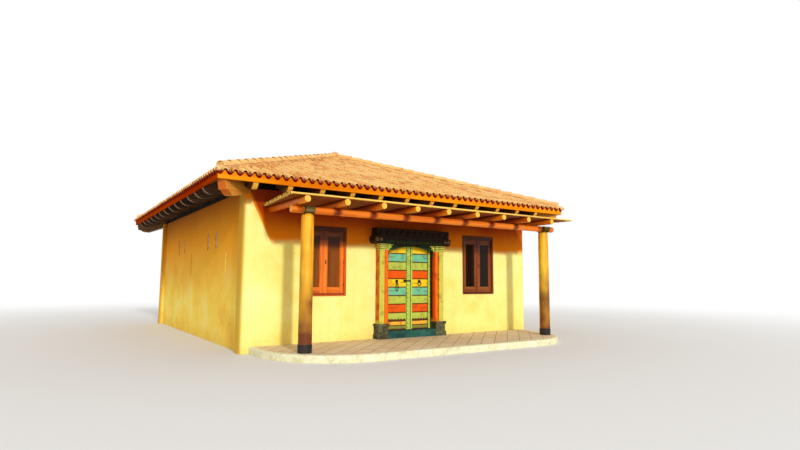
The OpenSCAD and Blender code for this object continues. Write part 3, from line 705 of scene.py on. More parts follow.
def pavers(name, pale, body, joint):
    """Clay pavers, 300 mm square, laid diagonally with dark worn joints."""
    material, tree, at = new_finish(name, specular=0.3)
    at = add(tree, "Mapping", at, Rotation=(0.0, 0.0, math.radians(45)))
    # the Brick node measures in its own units, so its scale of 1 keeps metres
    bond = add(tree, "TexBrick", at, Color1=pale, Color2=body, Mortar=joint, Scale=1.0, Mortar_Size=0.008,
               Mortar_Smooth=0.3, Bias=0.0, Brick_Width=0.3, Row_Height=0.3, take="Color", offset=0.0)
    worn = add(tree, "TexNoise", at, Scale=11.0, Detail=5.0)
    fade = add(tree, "MapRange", worn, 0.4, 0.75, 0, 0.5)
    tint = add(tree, "Mix", fade, bond, "#E2C8A2")
    return wire(material, tint, 0.75, worn, 0.003)


def window_glass(name, tint, far_shaded_tint):
    """Float glass before a drawn brown blind, which hangs in soft folds: amber by the first window and nearly
    black, as painted shade, by the other, with a weak clear reflection. The folds and the blind's head are
    darkened as painted shade."""
    material, tree, at = new_finish(name, specular=0.12, coat=0.06, coat_roughness=0.03)
    place = add(tree, "SeparateXYZ", at, take="X").node.outputs
    far = add(tree, "Math GREATER_THAN", place["X"], FACADE)
    fold = add(tree, "Mapping", at, Scale=(9.0, 1.0, 0.25))
    fold = add(tree, "TexNoise", fold, Scale=1.0, Detail=2.0)
    blind = add(tree, "Mix", far, tint, far_shaded_tint)
    # painted shade in the folds
    shade = add(tree, "MapRange", fold, 0.35, 0.6, 0.65, 0.0)
    # painted shade over the blind's head, which hangs in the shade of the casing
    head = add(tree, "MapRange", place["Z"], 2.25, 2.5, 0, 0.85)
    shade = add(tree, "Math MAXIMUM", shade, head)
    blind = add(tree, "Mix", shade, blind, "#1E1009")
    return wire(material, blind, 0.12)


def forged_iron(name):
    """Hand-forged iron, blackened with oil: dark, hammered, with rust in the hollows."""
    material, tree, at = new_finish(name, metallic=0.75)
    beaten = add(tree, "TexNoise", at, Scale=45.0, Detail=3.0)
    tint = add(tree, "ValToRGB", beaten, stops=[(0.35, "#3A2418"), (0.6, "#2A2624")])
    return wire(material, tint, 0.5, beaten, 0.002)


def dry_cane(name):
    """Dry river cane: glossy straw skin, each stem its own tone, darkened on the underside as painted shade
    (paint), with darker splits along the stem."""
    material, tree, at = new_finish(name, specular=0.25)
    tone = add(tree, "Attribute", take="Fac", attribute_name="tone")
    tint = add(tree, "ValToRGB", tone,
               stops=[(0.0, "#D89A34"), (0.5, "#F6C650"), (1.0, "#FFE484")])
    long = add(tree, "Mapping", at, Scale=(0.5, 30.0, 30.0))
    split = add(tree, "TexNoise", long, Scale=2.0, Detail=4.0)
    dark = add(tree, "MapRange", split, 0.5, 0.75, 0, 0.6)
    tint = add(tree, "Mix", dark, tint, "#A8651E")
    paint = add(tree, "Attribute", take="Color", attribute_name="paint")
    tint = add(tree, "Mix MULTIPLY", 1.0, tint, paint)
    return wire(material, tint, 0.55, split, 0.002)


# walls
def cell_lines(cuts, step=0.16):
    """Grid lines through every cut, never further apart than the step."""
    cuts = np.unique(np.round(cuts, 5))
    spans = [np.linspace(a, b, max(2, math.ceil((b - a) / step) + 1))[:-1] for a, b in zip(cuts, cuts[1:])]
    return np.append(np.concatenate(spans), cuts[-1])


def pierced_wall(half, face, holes, ripple, seed, corner=0.0):
    """A wall whose outer face looks along -Y: a grid of cells P(u, w, v) with the cells of each hole
    left out, a second grid behind it, and strips that join the two round every edge. The outer
    face swells by ripple * wave(u, v), and turns back in a quarter circle at both ends."""
    turn = corner * (1 - np.cos(np.linspace(0, math.pi / 2, 9)))
    holes = np.array(holes)
    us = cell_lines([*(turn - half), *(half - turn), *holes[:, :2].ravel()])
    vs = cell_lines([0, WALL_TOP, *np.clip(holes[:, 2:], 0, None).ravel()])
    mid_u, mid_v = ((us[1:] + us[:-1]) / 2)[:, None], (vs[1:] + vs[:-1]) / 2
    keep = np.ones((len(us) - 1, len(vs) - 1), bool)
    for a, b, c, d in holes:
        keep &= ~((mid_u > a) & (mid_u < b) & (mid_v > c) & (mid_v < d))
    u, v = np.meshgrid(us, vs, indexing="ij")
    bend = np.clip(corner - (half - np.abs(u)), 0, None)
    bend = corner - np.sqrt(np.clip(corner ** 2 - bend ** 2, 0, None))
    near = spots(u, face + bend - ripple * hand_wave(u, v, seed) * (bend == 0), v)
    points = np.concatenate([near.reshape(-1, 3), spots(u, face + WALL, v).reshape(-1, 3)])
    index = np.arange(u.size).reshape(u.shape)
    back = index + u.size
    i, j = np.nonzero(keep)
    quads = [[index[i, j], index[i + 1, j], index[i + 1, j + 1], index[i, j + 1]],
             [back[i, j], back[i, j + 1], back[i + 1, j + 1], back[i + 1, j]]]
    padded = np.pad(keep, 1)
    neighbours = (padded[:-1, 1:-1], padded[1:, 1:-1]), (padded[1:-1, :-1], padded[1:-1, 1:])
    for level, (before, after) in enumerate(neighbours):
        for flip, edge in enumerate((before & ~after, after & ~before)):
            i, j = np.nonzero(edge)
            k, l = i + level, j + 1 - level
            quad = [index[i, j], back[i, j], back[k, l], index[k, l]]
            quads.append(quad[::-1] if flip != level else quad)
    used, faces = np.unique(np.concatenate([np.stack(quad, -1) for quad in quads]), return_inverse=True)
    return Shell(points[used], [faces.reshape(-1, 4)])


def openings_of(node, split=0.0):
    """Boxes of the solids of a node, told apart by which side of a line they lie on."""
    points = node_points(node)
    left = points[:, 0] < split
    return [(part.min(0), part.max(0)) for part in (points[left], points[~left])]


def spans_along(values, gap):
    """Splits sorted values into runs that lie further apart than a gap."""
    values = np.unique(np.round(values, 4))
    breaks = np.nonzero(np.diff(values) > gap)[0] + 1
    return [(run[0], run[-1]) for run in np.split(values, breaks)]


class ADOBE_OT_walls(bpy.types.Operator):
    """Trowelled adobe walls, with their windows, doorway, vents and niches"""
    bl_idname = "adobe.walls"
    bl_label = "Adobe walls"

    def execute(self, context):
        look = context.scene.adobe_house.walls
        # zones of painted shade: on the front under the porch and the eaves, and on the side walls growing
        # darker upwards
        front_zones = ((3.36, 3.58, look.porch_and_eave_shade), (3.56, 4.2, "#9E3606"))
        side_zones = ((0.9, 3.0, "#F2A014"), (2.5, 3.9, "#B4640A"))
        wash = lime_wash("Lime wash on hand-trowelled adobe", (look.body, look.pale, look.deep, front_zones),
                         (look.side, look.body, "#F0B034", side_zones))
        front = ["front_wall_left", "front_wall_right", "front_wall_over_door"]
        for k, face, split, nodes in ((0, "front", FACADE, front), (2, "back", 0.0, ["back_wall"])):
            cases = openings_of(face + "_window_frames", split)
            holes = [(low[0], high[0], low[2], high[2]) for low, high in cases]
            if face == "front":
                holes.append((FACADE - OPENING, FACADE + OPENING, -1.0, HEAD_TOP))
            skin = pierced_wall(HALF_WIDTH, FRONT, holes, look.ripple, 1.0 + k / 2, look.corner)
            make(face + "_wall_skin", skin.moved(quarter_turn(k)), wash, nodes, bevel=look.edge)
        vents = node_points("vent_tiles")
        vent_z = vents[:, 2].min(), vents[:, 2].max()
        # the niches are the only hollows in the side walls below the vents
        niches = node_points("left_wall")
        niches = niches[(np.abs(niches[:, 0] + SIDE_FACE - WALL / 2) < WALL / 2 - 0.03)
                        & (niches[:, 2] < vent_z[0]) & (niches[:, 2] > 0.1)]
        floor, top = niches[:, 2].min(), niches[:, 2].max()
        runs = spans_along(niches[:, 1], 0.25)
        half = (runs[0][1] - runs[0][0]) / 2
        for k, node in ((1, "right_wall"), (3, "left_wall")):
            turn = 2 - k
            ys = [turn * (a + b) / 2 for a, b in runs]
            holes = [(*sorted((turn * a, turn * b)), *vent_z) for a, b in spans_along(vents[:, 1], 0.25)]
            holes += [(y - half, y + half, floor, top) for y in ys]
            # the wall runs 40 mm into the front and back walls, so that no groove shows at the corner,
            # and the back of each niche runs 10 mm into the wall round it
            reach, lap = -FRONT - WALL + 0.04, 0.01
            forms = [pierced_wall(reach, -SIDE_FACE, holes, look.ripple, 2.0 + k)]
            forms += [bar((y - half - lap, niches[0, 0], floor - lap),
                          (y + half + lap, WALL - SIDE_FACE - lap, top + lap), 2) for y in ys]
            make(node + "_skin", [form.moved(quarter_turn(k)) for form in forms], wash, [node],
                 bevel=look.edge)
        cover(["vent_tiles"], stone("Unglazed clay grille", "#F0CDB8", "#D8A490", "#8C5040", 34.0))
        cover(["floor_slab"], stone("Burnished clay floor", "#C79A70", "#A9825E", "#7E5A3C", 9.0, 0.6, 0.002))
        return {"FINISHED"}


# windows
def window_bars(low, high, sides, foot, head, radius):
    """A joined frame of four bars: two stiles the full height and two rails between them."""
    (x0, y0, z0), (x1, y1, z1) = low, high
    stiles = [bar((x, y0, z0), (x + sides, y1, z1), 2, radius) for x in (x0, x1 - sides)]
    # the rails run 2 mm into the stiles
    lap = 0.002
    x0, x1 = x0 + sides - lap, x1 - sides + lap
    rails = [bar((x0, y0, a), (x1, y1, b), 0, radius) for a, b in ((z0, z0 + foot), (z1 - head, z1))]
    return stiles, rails


class ADOBE_OT_windows(bpy.types.Operator):
    """Varnished casement windows with moulded frames, glazing beads and dark glass"""
    bl_idname = "adobe.windows"
    bl_label = "Casement windows"

    def execute(self, context):
        stained, cedar = ("#F07C18", "#D85E0C", "#963608"), ("#FF9C1C", "#EE7408", "#A43C06")
        # head is painted shade, for the porch's shadow on the windows
        woods = [timber(f"Varnished {name} grain", *tones, way, 40, 0.45, 0.1, head="#2A0E06")
                 for name, tones, way in (("mahogany, upright", stained, "z"),
                                          ("mahogany, level", stained, "x"),
                                          ("cedar, upright", cedar, "z"), ("cedar, level", cedar, "x"))]
        iron = forged_iron("Window ironwork, blackened iron")
        glass = window_glass("Float glass before a brown blind", "#864606", "#160B05")
        cover(["front_window_glass", "back_window_glass"], glass)
        for face, turn, split in (("front", 0, FACADE), ("back", 2, 0.0)):
            stiles, rails, sash_stiles, sash_rails, metal = [], [], [], [], []
            frames, panes, sashes = (face + "_window_" + part for part in ("frames", "glass", "sashes"))
            (frame_low, frame_high), (pane_low, pane_high), (low, high) = box(frames), box(panes), box(sashes)
            flip = 1 - turn
            outer = min(flip * low[1], flip * high[1])
            case_face = min(flip * frame_low[1], flip * frame_high[1])
            case_back, outer_back = case_face + frame_high[1] - frame_low[1], outer + high[1] - low[1]
            casing, inset = low[0] - frame_low[0], pane_low[0] - low[0]
            foot, head = pane_low[2] - low[2], high[2] - pane_high[2]
            for case_low, case_high in openings_of(frames, split):
                x0, x1 = sorted((flip * case_low[0], flip * case_high[0]))
                z0, z1 = case_low[2], case_high[2]
                s, r = window_bars((x0, case_face, z0), (x1, case_back, z1), casing, low[2] - z0,
                                   z1 - high[2], 0.009)
                # painted shade: the left stile and the rails are darkened, and the right stile keeps its full
                # colour as if in the sun
                for part in s[:1] + r:
                    part.paint = part.paint * (0.42, 0.3, 0.3, 1)
                # a quarter-round bead of 12 mm where the casing meets the wall
                bead, in_by = [0.012, 0.012], 0.004
                y = case_face + in_by
                stiles += s + [round_bar([(x, y, z0), (x, y, z1)], bead, X, Y, 10)
                               for x in (x0 + in_by, x1 - in_by)]
                rails += r + [round_bar([(x0, y, z), (x1, y, z)], bead, Y, Z, 10)
                              for z in (z0 + in_by, z1 - in_by)]
                middle = (x0 + x1) / 2
                near, far = outer + 0.008, (outer + outer_back) / 2 - 0.004
                leaves = (x0 + casing, middle - 0.001, 0), (middle + 0.001, x1 - casing, 1)
                for left, right, hinge in leaves:
                    s, r = window_bars((left, outer, low[2]), (right, outer_back, high[2]), inset, foot, head,
                                       0.007)
                    # glazing beads
                    (a, b), (c, d), wide = (left + inset, right - inset), (pane_low[2], pane_high[2]), 0.012
                    sash_stiles += s + [bar((p - wide, near, c), (p + wide, far, d), 2, 0.006)
                                        for p in (a, b)]
                    sash_rails += r + [bar((a, near, p - wide), (b, far, p + wide), 0, 0.006) for p in (c, d)]
                    pin = np.array([(left, right)[hinge], outer - 0.004, 0])
                    metal += [round_bar([pin + Z * (p - 0.04), pin + Z * (p + 0.04)], [0.007, 0.007], X, Y, 8)
                              for p in (low[2] + 0.2, (low[2] + high[2]) / 2, high[2] - 0.2)]
                # the moulded strip that covers the meeting stiles, and its catch
                z0, z1 = low[2] + 0.01, high[2] - 0.01
                sash_stiles.append(bar((middle - 0.024, outer - 0.012, z0),
                                       (middle + 0.024, outer + 0.002, z1), 2, 0.008))
                catch = np.array([middle + 0.05, outer - 0.008, (z0 + z1) / 2])
                metal.append(bar(catch - (0.01, 0.006, 0.05), catch + (0.01, 0.01, 0.05), 2, 0.004))
            for name, forms, material, slot, nodes in (
                    ("_window_casing_stiles", stiles, woods[0], "window_frame_wood", [frames]),
                    ("_window_casing_rails", rails, woods[1], "window_frame_wood", ()),
                    ("_casement_stiles", sash_stiles, woods[2], "window_sash_wood", [sashes]),
                    ("_casement_rails", sash_rails, woods[3], "window_sash_wood", ()),
                    ("_window_ironwork", metal, iron, "iron", ())):
                make(face + name, [form.moved(quarter_turn(turn)) for form in forms], material, nodes)
        return {"FINISHED"}


# door surround
def moulded_block(low, high, profile, tints=(PLAIN,), sides=1.0):
    """A block whose outline swells and shrinks with height: at height h(t) the front stands in by
    d(t), and each side by a share of it. The back stays flat against the wall."""
    low, high = np.asarray(low, float), np.asarray(high, float)
    rings = []
    for t, inset in profile:
        z = low[2] + t * (high[2] - low[2])
        x0, x1, y0 = low[0] + inset * sides, high[0] - inset * sides, low[1] + inset
        rings.append([(x0, y0, z), (x1, y0, z), (x1, high[1], z), (x0, high[1], z)])
    tints = np.repeat(np.broadcast_to(tints, (len(rings), 4)), 4, 0)
    return loft(rings, paint=np.concatenate([tints, tints[[0, -1]]]))


def half_column(x, y, radius, back, levels, paint):
    """An engaged round moulding: r(z) taken from its levels, round over the front half and carried
    straight back to the wall, in one colour or in one for each level."""
    angle = np.radians(np.linspace(180, 360, 17))
    rings = []
    for z, swell in levels:
        r = radius + swell
        front = spots(x + r * np.cos(angle), y + r * np.sin(angle), z)
        rings.append(np.concatenate([front, [(x + r, back, z), (x - r, back, z)]]))
    tints = np.repeat(np.broadcast_to(linear(paint), (len(rings), 4)), len(rings[0]), 0)
    return loft(rings, paint=np.concatenate([tints, tints[[0, -1]]]))


class ADOBE_OT_door_surround(bpy.types.Operator):
    """Carved door surround: shafts, capitals, lintel, valance, plinths and threshold"""
    bl_idname = "adobe.door_surround"
    bl_label = "Door surround"

    def execute(self, context):
        bare_wood = "#4A2C18"
        # the back part of the jambs' reveals, by the leaves, is painted nearly black as shade
        shafts = worn_paint("Old orange paint on turned jambs", bare_wood, wear=0.3, shaded_behind=FRONT - 0.085)
        outer = worn_paint("Old yellow-green paint on pilasters", bare_wood, wear=0.4, green="#A9C24E")
        dress("door_jambs", shafts, "#F26C08", "#EA4E08")
        dress("door_pilasters", outer, "#D0C448", "#CC5E14")
        dark = worn_paint("Old dark oil on the carved lintel", "#0E0906", "#26150C", 0.5, "#1A2412")
        pale_green = worn_paint("Old yellow-green paint on carving", bare_wood, "#C6D056", 0.4, "#E0D870")
        green = worn_paint("Old green paint on the lintel's leaves", bare_wood, "#24401A", 0.5, "#46562A")
        deep_green = worn_paint("Old black-green paint on the valance", bare_wood, "#16301A", 0.5, "#2E5224")
        bone = worn_paint("Limed scroll ends", bare_wood, "#80684A", 0.7, "#5E6038")
        cover(["door_lintel"], dark)
        cover(["door_valance"], deep_green)
        plinth_stone = stone("Carved volcanic stone with old paint", "#6E6C48", "#46442E", "#2A2620", 18.0)
        cover(["door_threshold"], stone("Worn painted stone sill", "#2E6656", "#1A4A42", "#0E2E28", 14.0))

        jamb_low, jamb_high = box("door_jambs")
        plinth_low, plinth_high = box("door_plinths")
        clear = FACADE - box("door_threshold")[LOW][0]
        face, plinth_top, lintel_z = jamb_low[1], jamb_low[2], jamb_high[2]
        jamb_w, outer_w = OPENING - clear, FACADE - OPENING - box("door_pilasters")[LOW][0]
        # heights and swells of the round foot of each shaft
        foot = ((0, 0.016), (0.03, 0.016), (0.042, 0.004), (0.062, 0.012), (0.082, 0.004), (0.096, -0.01))
        foot = [(plinth_top + rise, swell) for rise, swell in foot]
        # three mouldings, each wider than the one below, with a groove between that is painted dark as shade,
        # in millimetres
        rises = np.array([0, 8, 22, 26, 34, 40, 62, 66, 78, 84, 112, 118, 126, 132, 158]) / 1000
        insets = np.array([0, -12, -12, 0, 0, -14, -14, -2, -2, -22, -22, -8, -8, -30, -30]) / 1000
        cap_z, cap_profile = lintel_z - rises[-1], list(zip(rises / rises[-1], insets))
        cap_paint_and_shade = [linear("#2A3010" if i in (3, 4, 7, 8, 11, 12) else "#D2D058") for i in range(len(rises))]
        profile = ((0, 0), (0.26, 0), (0.3, 0.012), (0.36, 0.02), (0.4, 0.022), (0.74, 0.022), (0.78, 0.018),
                   (0.84, 0.006), (0.88, 0), (1.0, 0))
        mouldings, capitals, plinths = [], [], []
        lime, r = "#D0C448", jamb_w / 2
        for side in (-1, 1):
            jamb_x, outer_x = FACADE + side * (clear + r), FACADE + side * (OPENING + outer_w / 2 - 0.006)
            for x, radius, tint in ((jamb_x, r - 0.008, "#E86A0C"), (outer_x, outer_w / 2 - 0.016, lime)):
                mouldings.append(half_column(x, face + r, radius, FRONT - 0.01, foot, tint))
            for near, far in ((clear, OPENING), (OPENING, OPENING + outer_w)):
                x0, x1 = sorted((FACADE + side * near, FACADE + side * far))
                capitals.append(moulded_block((x0 + 0.006, face, cap_z), (x1 - 0.006, face + 0.12, lintel_z),
                                              cap_profile, cap_paint_and_shade, 0.4))
            # a round shaft on the face of each outer pilaster
            shaft = [(z, 0.0) for z in np.linspace(plinth_top + 0.05, cap_z + 0.01, 12)]
            mouldings.append(half_column(outer_x, face + r, outer_w / 2 - 0.034, FRONT - 0.02, shaft, lime))
            x0, x1 = sorted((FACADE + side * clear, FACADE + side * (plinth_high[0] - FACADE)))
            low, high = np.array([x0, plinth_low[1], plinth_low[2]]), np.array([x1, FRONT, plinth_top])
            rear = np.array([x0 if side > 0 else x1 - jamb_w, FRONT - 0.01, box("floor_slab")[HIGH][2]])
            flower = low + (high - low) * (0.5, 0, 0.57) + (0, 0.022, 0)
            plinths += [moulded_block(low, high, profile),
                        bar(rear, (rear[0] + jamb_w, plinth_high[1], plinth_top), 2),
                        rosette(0.055, 0.018).moved(shift=flower)]
        make("door_surround_mouldings", mouldings, outer)
        make("door_capitals", capitals, outer)
        make("door_plinth_blocks", plinths, plinth_stone, ["door_plinths"])
        self.carve_lintel(dark, green, bone)
        self.carve_valance(deep_green, pale_green, clear)
        return {"FINISHED"}

    def carve_lintel(self, dark, green, bone):
        """Rosettes and rope mouldings on the beam, and scrolls and leaves on the brackets."""
        low, high = box("door_lintel")
        points = node_points("door_lintel")
        beam = points[points[:, 2] > high[2] - 0.002, 0]
        x0, x1, face, step = beam.min(), beam.max(), low[1], low[2] + 0.18
        band_x = np.linspace(x0 + 0.1, x1 - 0.1, 11)
        band = copies(rosette(0.068, 0.03), spots(band_x, face + 0.002, step + 0.105))
        # two twisted ropes: the radius swells four times in each 60 mm of length
        along = np.linspace(x0 + 0.004, x1 - 0.004, 160)
        radii = 0.014 * (1 + 0.22 * np.cos(2 * turns(8) + along[:, None] * 2 * math.pi / 0.03))
        ropes = [round_bar(spots(along, face, z), radii, Y, Z, 8) for z in (high[2] - 0.016, step + 0.018)]
        make("lintel_carving", [band] + ropes, dark)
        scrolls = []
        spiral = np.linspace(0, 2.3 * 2 * math.pi, 70)
        for side in (-1, 1):
            end = (high if side > 0 else low)[0]
            for turn, radius in ((0.07, 0.056), (0.185, 0.044)):
                centre = np.array([end - side * turn, face, low[2] + 0.095])
                shrink = radius * (1 - 0.86 * spiral / spiral[-1])
                out = spots(side * np.cos(spiral), 0, np.sin(spiral))
                path = centre + OUT * 0.003 + shrink[:, None] * out
                scrolls += [loft(rounds(path, out, 0.008, 6)), dome(0.016, 0.02, OUT).moved(shift=centre)]
        leaf_x = np.linspace(low[0] + 0.36, high[0] - 0.36, 17)
        leaves = copies(rosette(0.048, 0.02, 3), spots(leaf_x, face + 0.002, low[2] + 0.06))
        make("bracket_scrolls", scrolls, bone)
        make("bracket_leaves", leaves, green)

    def carve_valance(self, dark, green, clear):
        """Drops along the arch, a vine of rosettes, and a curved bracket in each upper corner."""
        low, high = box("door_valance")
        face, rise = low[1], 0.115
        half = (high[0] - low[0]) / 2 - 0.13
        radius = (half ** 2 + rise ** 2) / (2 * rise)
        angle = math.asin(half / radius) * np.linspace(-0.94, 0.94, 23)
        x, z = FACADE + radius * np.sin(angle), low[2] + rise - radius + radius * np.cos(angle)
        drops = copies(dome(0.02, 0.016, OUT, 8), spots(x, face + 0.004, z + 0.006))
        flowers = copies(rosette(0.03, 0.016, 6), spots(x[1:-1:2], face + 0.002, z[1:-1:2] + 0.04))
        make("valance_carving", [drops, flowers], dark)
        brackets, beads = [], []
        wide, deep, curve = 0.24, 0.3, arc((0, 0), 1.0, 90, 180, 14)
        for side in (-1, 1):
            # a quarter hollow from the door's jamb to the lintel
            tip = np.array([FACADE + side * (clear - 0.002), high[2]])
            edge = tip - (1 + curve * (1, -1)) * (side * wide, deep)
            rim = spots(edge[:, 0], face - 0.016, edge[:, 1])
            tangent = np.gradient(rim, axis=0)
            tangent /= np.linalg.norm(tangent, axis=1)[:, None]
            beads.append(loft(rounds(rim, np.cross(tangent, Y), 0.012, 8)))
            flower = (tip[0] - side * 0.07, face - 0.014, tip[1] - 0.08)
            brackets += [slab([*edge, tip], face - 0.014, face + 0.012),
                         rosette(0.032, 0.016).moved(shift=flower)]
        make("corner_brackets", brackets, green)
        make("corner_bracket_rims", beads, dark)


# door leaves
class ADOBE_OT_door_leaves(bpy.types.Operator):
    """Two leaves of painted boards between dark ledges, with studded stiles and iron knockers"""
    bl_idname = "adobe.door_leaves"
    bl_label = "Door leaves"

    def execute(self, context):
        look = context.scene.adobe_house.door
        paint = worn_paint("Old thick paint on hardwood boards", "#6A4022", boards=True)
        iron = forged_iron("Door ironwork, forged and blackened")
        stile, ledge = look.stile, look.ledge
        four = [look.yellow, look.turquoise, look.leaf_green, look.orange]
        rows = four * 2 + [look.leaf_green, look.yellow]
        bead, pivot, stile_w, thick, half_ledge = "#4C541A", 0.04, 0.085, 0.06, 0.011
        for name, side, meeting in (("left", -1, 0.145), ("right", 1, 0.0425)):
            node, body = "door_leaf_" + name, name + "_leaf"
            low, high = box(node)
            y0, y1, z0, z1 = low[1], high[1], low[2] + pivot, high[2] - pivot
            hang, meet = (low[0], high[0])[::-side]
            axis_x, inner, edge = hang - side * thick / 2, hang - side * stile_w, meet + side * meeting
            span = x0, x1 = sorted((inner, edge))
            # the frame: a rounded hanging edge with its pivots, two stiles and a back of boards
            axis_path = [(axis_x, (y0 + y1) / 2, z) for z in (low[2], z0, z0, z1, z1, high[2])]
            radii = [0.018, 0.018, thick / 2, thick / 2, 0.018, 0.018]
            frame_parts = [round_bar(axis_path, radii, X, Y, 24, paint=stile),
                           bar((axis_x, y0, z0), (inner, y1, z1), 2, 0.004, paint=stile),
                           bar((meet, y0, z0), (edge, y1, z1), 2, 0.006, paint=stile),
                           bar((x0 - 0.02, y0 + 0.026, z0), (x1 + 0.02, y1, z1), 0, 0.003, paint=ledge),
                           bar((inner - 0.007, y0 - 0.003, z0 + 0.01),
                               (inner + 0.007, y0 + 0.012, z1 - 0.01), 2, 0.005, paint=bead)]
            if side < 0:
                # the raised middle stile has a bead down each edge
                for x in (edge + 0.014, meet - 0.014):
                    low, high = (x - 0.008, y0 - 0.006, z0 + 0.01), (x + 0.008, y0 + 0.004, z1 - 0.01)
                    frame_parts.append(bar(low, high, 2, 0.006, paint=bead))
            make(body + "_frame", frame_parts, paint, [node], body)
            boards, bands, crack_shadows = [], [], []
            pitch, y, last = (z1 - z0) / len(rows), y0 + 0.014, len(rows) - 1
            for i, tint in enumerate(rows):
                top, bottom = z1 - i * pitch - half_ledge, z1 - (i + 1) * pitch
                if i == last:
                    # two boards share the lowest row
                    split = bottom + pitch * 0.5
                    boards += [self.board(span, y, split + 0.008, top, (0.95, 0.45, 0.04, 1), i + side),
                               self.board(span, y, bottom + 2 * half_ledge, split - 0.008, look.olive,
                                          i + side + 3)]
                    bands.append(bar((x0, y0 + 0.006, split - 0.009), (x1, y0 + 0.03, split + 0.009), 0,
                                     paint=ledge))
                elif i == last - 1:
                    boards += self.carved_board(span, y, bottom, top, tint, ledge)
                else:
                    boards.append(self.board(span, y, bottom + half_ledge, top, tint, i + side))
                if i in (1, 4, 5, 7):
                    # an open crack where the two planks of this board have parted: a dark strip that stands
                    # for the shade in it
                    odd = (i + (side > 0)) % 2
                    reach = (0.42 if odd else 0.3) * (x1 - x0)
                    start = x0 if odd else x1 - reach
                    z = bottom + pitch * (0.56 if side < 0 else 0.48)
                    crack_shadows.append(bar((start, y - 0.0025, z - 0.006),
                                      (start + reach, y + 0.004, z + 0.006), 0, 0.002, paint=ledge))
            for i in (*range(last), last + 1):
                z = min(max(z1 - i * pitch, z0 + half_ledge), z1 - half_ledge)
                bands.append(bar((x0, y0 + 0.005, z - half_ledge), (x1, y0 + 0.03, z + half_ledge), 0,
                                 paint=ledge))
            make(body + "_boards", boards, paint, (), body)
            make(body + "_ledges", bands + crack_shadows, paint, (), body)
            self.ironwork(name, side, body, iron, inner, meet, edge, y0, z0, z1, pitch, paint)
        return {"FINISHED"}

    def board(self, span, y, bottom, top, tint, seed):
        """One painted board with eased edges, a touch proud or shy of its neighbours."""
        low = (span[0] + 0.001, y + 0.0015 * math.sin(seed * 2.7), bottom + 0.001)
        return bar(low, (span[1] - 0.001, y + 0.02, top - 0.001), 0, 0.005, paint=tint)

    def carved_board(self, span, y, bottom, top, tint, ledge):
        """A board with a wavy lower edge, z(x) = z0 + a |sin(pi n x / w)|, over a darker ground, and
        carved leaves between the waves."""
        low, width, waves = bottom + 0.01, span[1] - span[0], 6
        x = np.linspace(span[0] + 0.001, span[1] - 0.001, 61)
        edge = low + 0.02 + 0.036 * np.abs(np.sin(math.pi * waves * (x - span[0]) / width))
        outline = [*zip(x, edge), (x[-1], top), (x[0], top)]
        ground = bar((span[0], y + 0.008, bottom - 0.004), (span[1], y + 0.02, top), 0, 0.002, paint=ledge)
        places = span[0] + (np.arange(waves) + 0.5) / waves * width
        row = copies(rosette(0.026, 0.012, 4, "#C6CE58"), spots(places, y, (low + top) / 2 + 0.03))
        return [slab(outline, y, y + 0.014, paint=tint), ground, row]

    def ironwork(self, name, side, body, iron, inner, meet, edge, y0, z0, z1, pitch, paint):
        """A ring knocker, studs beside the hanging stile, painted knobs down the middle stile and a hasp."""
        low, high = box("knocker_" + name)
        boss = np.array([(low[0] + high[0]) / 2, y0 + 0.012, high[2] - 0.03])
        turn = turns(24)
        out = spots(np.sin(turn), 0, np.cos(turn))
        # a drop handle: a ring drawn out downwards, and narrower at the top on the left leaf
        drop, narrow = (0.128, 0.35) if side < 0 else (0.058, 0.0)
        path = out * spots(0.046 * (1 - narrow * (1 + np.cos(turn))), 0, drop - 0.006)
        # the back plate, the boss in its middle and the ring
        knocker = [rosette(0.048, 0.016).moved(shift=boss),
                   dome(0.022, 0.034, OUT, 12).moved(shift=boss - Y * 0.01),
                   torus(rounds(boss + (0, -0.016, -drop) + path, out, 0.01, 8))]
        make("knocker_" + name + "_forged", knocker, iron, ["knocker_" + name], body)
        z = np.linspace(z0 + 0.06, z1 - 0.06, 21)
        parts = [copies(dome(0.009, 0.007, OUT, 8), spots(inner - side * 0.018, y0 + 0.014, z)),
                 copies(dome(0.011, 0.01, OUT, 8), spots(inner + side * 0.04, y0, z + 0.05))]
        if side < 0:
            shifts = spots((meet + edge) / 2, y0, np.arange(z0 + pitch * 0.25, z1 - 0.05, pitch * 0.5))
            # the knobs are painted paler, as a highlight, and the collars round them darker, as shade
            knobs, collars = dome(0.02, 0.018, OUT, paint="#E4EE7C"), rosette(0.032, 0.006, paint="#4E7A2C")
            make("middle_stile_knobs", [copies(knobs, shifts + OUT * 0.003), copies(collars, shifts)], paint,
                 (), body)
            z = boss[2] + 0.012
            parts += [bar((edge - 0.075, y0 - 0.02, z - 0.016),
                          (meet - 0.006, y0 - 0.006, z + 0.016), 0, 0.005),
                      bar((edge - 0.06, y0 - 0.012, z - 0.034), (edge - 0.012, y0 + 0.02, z + 0.034), 2),
                      dome(0.024, 0.024, OUT).moved(shift=(meet - 0.03, y0 - 0.016, z))]
        make(body + "_studs", parts, iron, (), body)


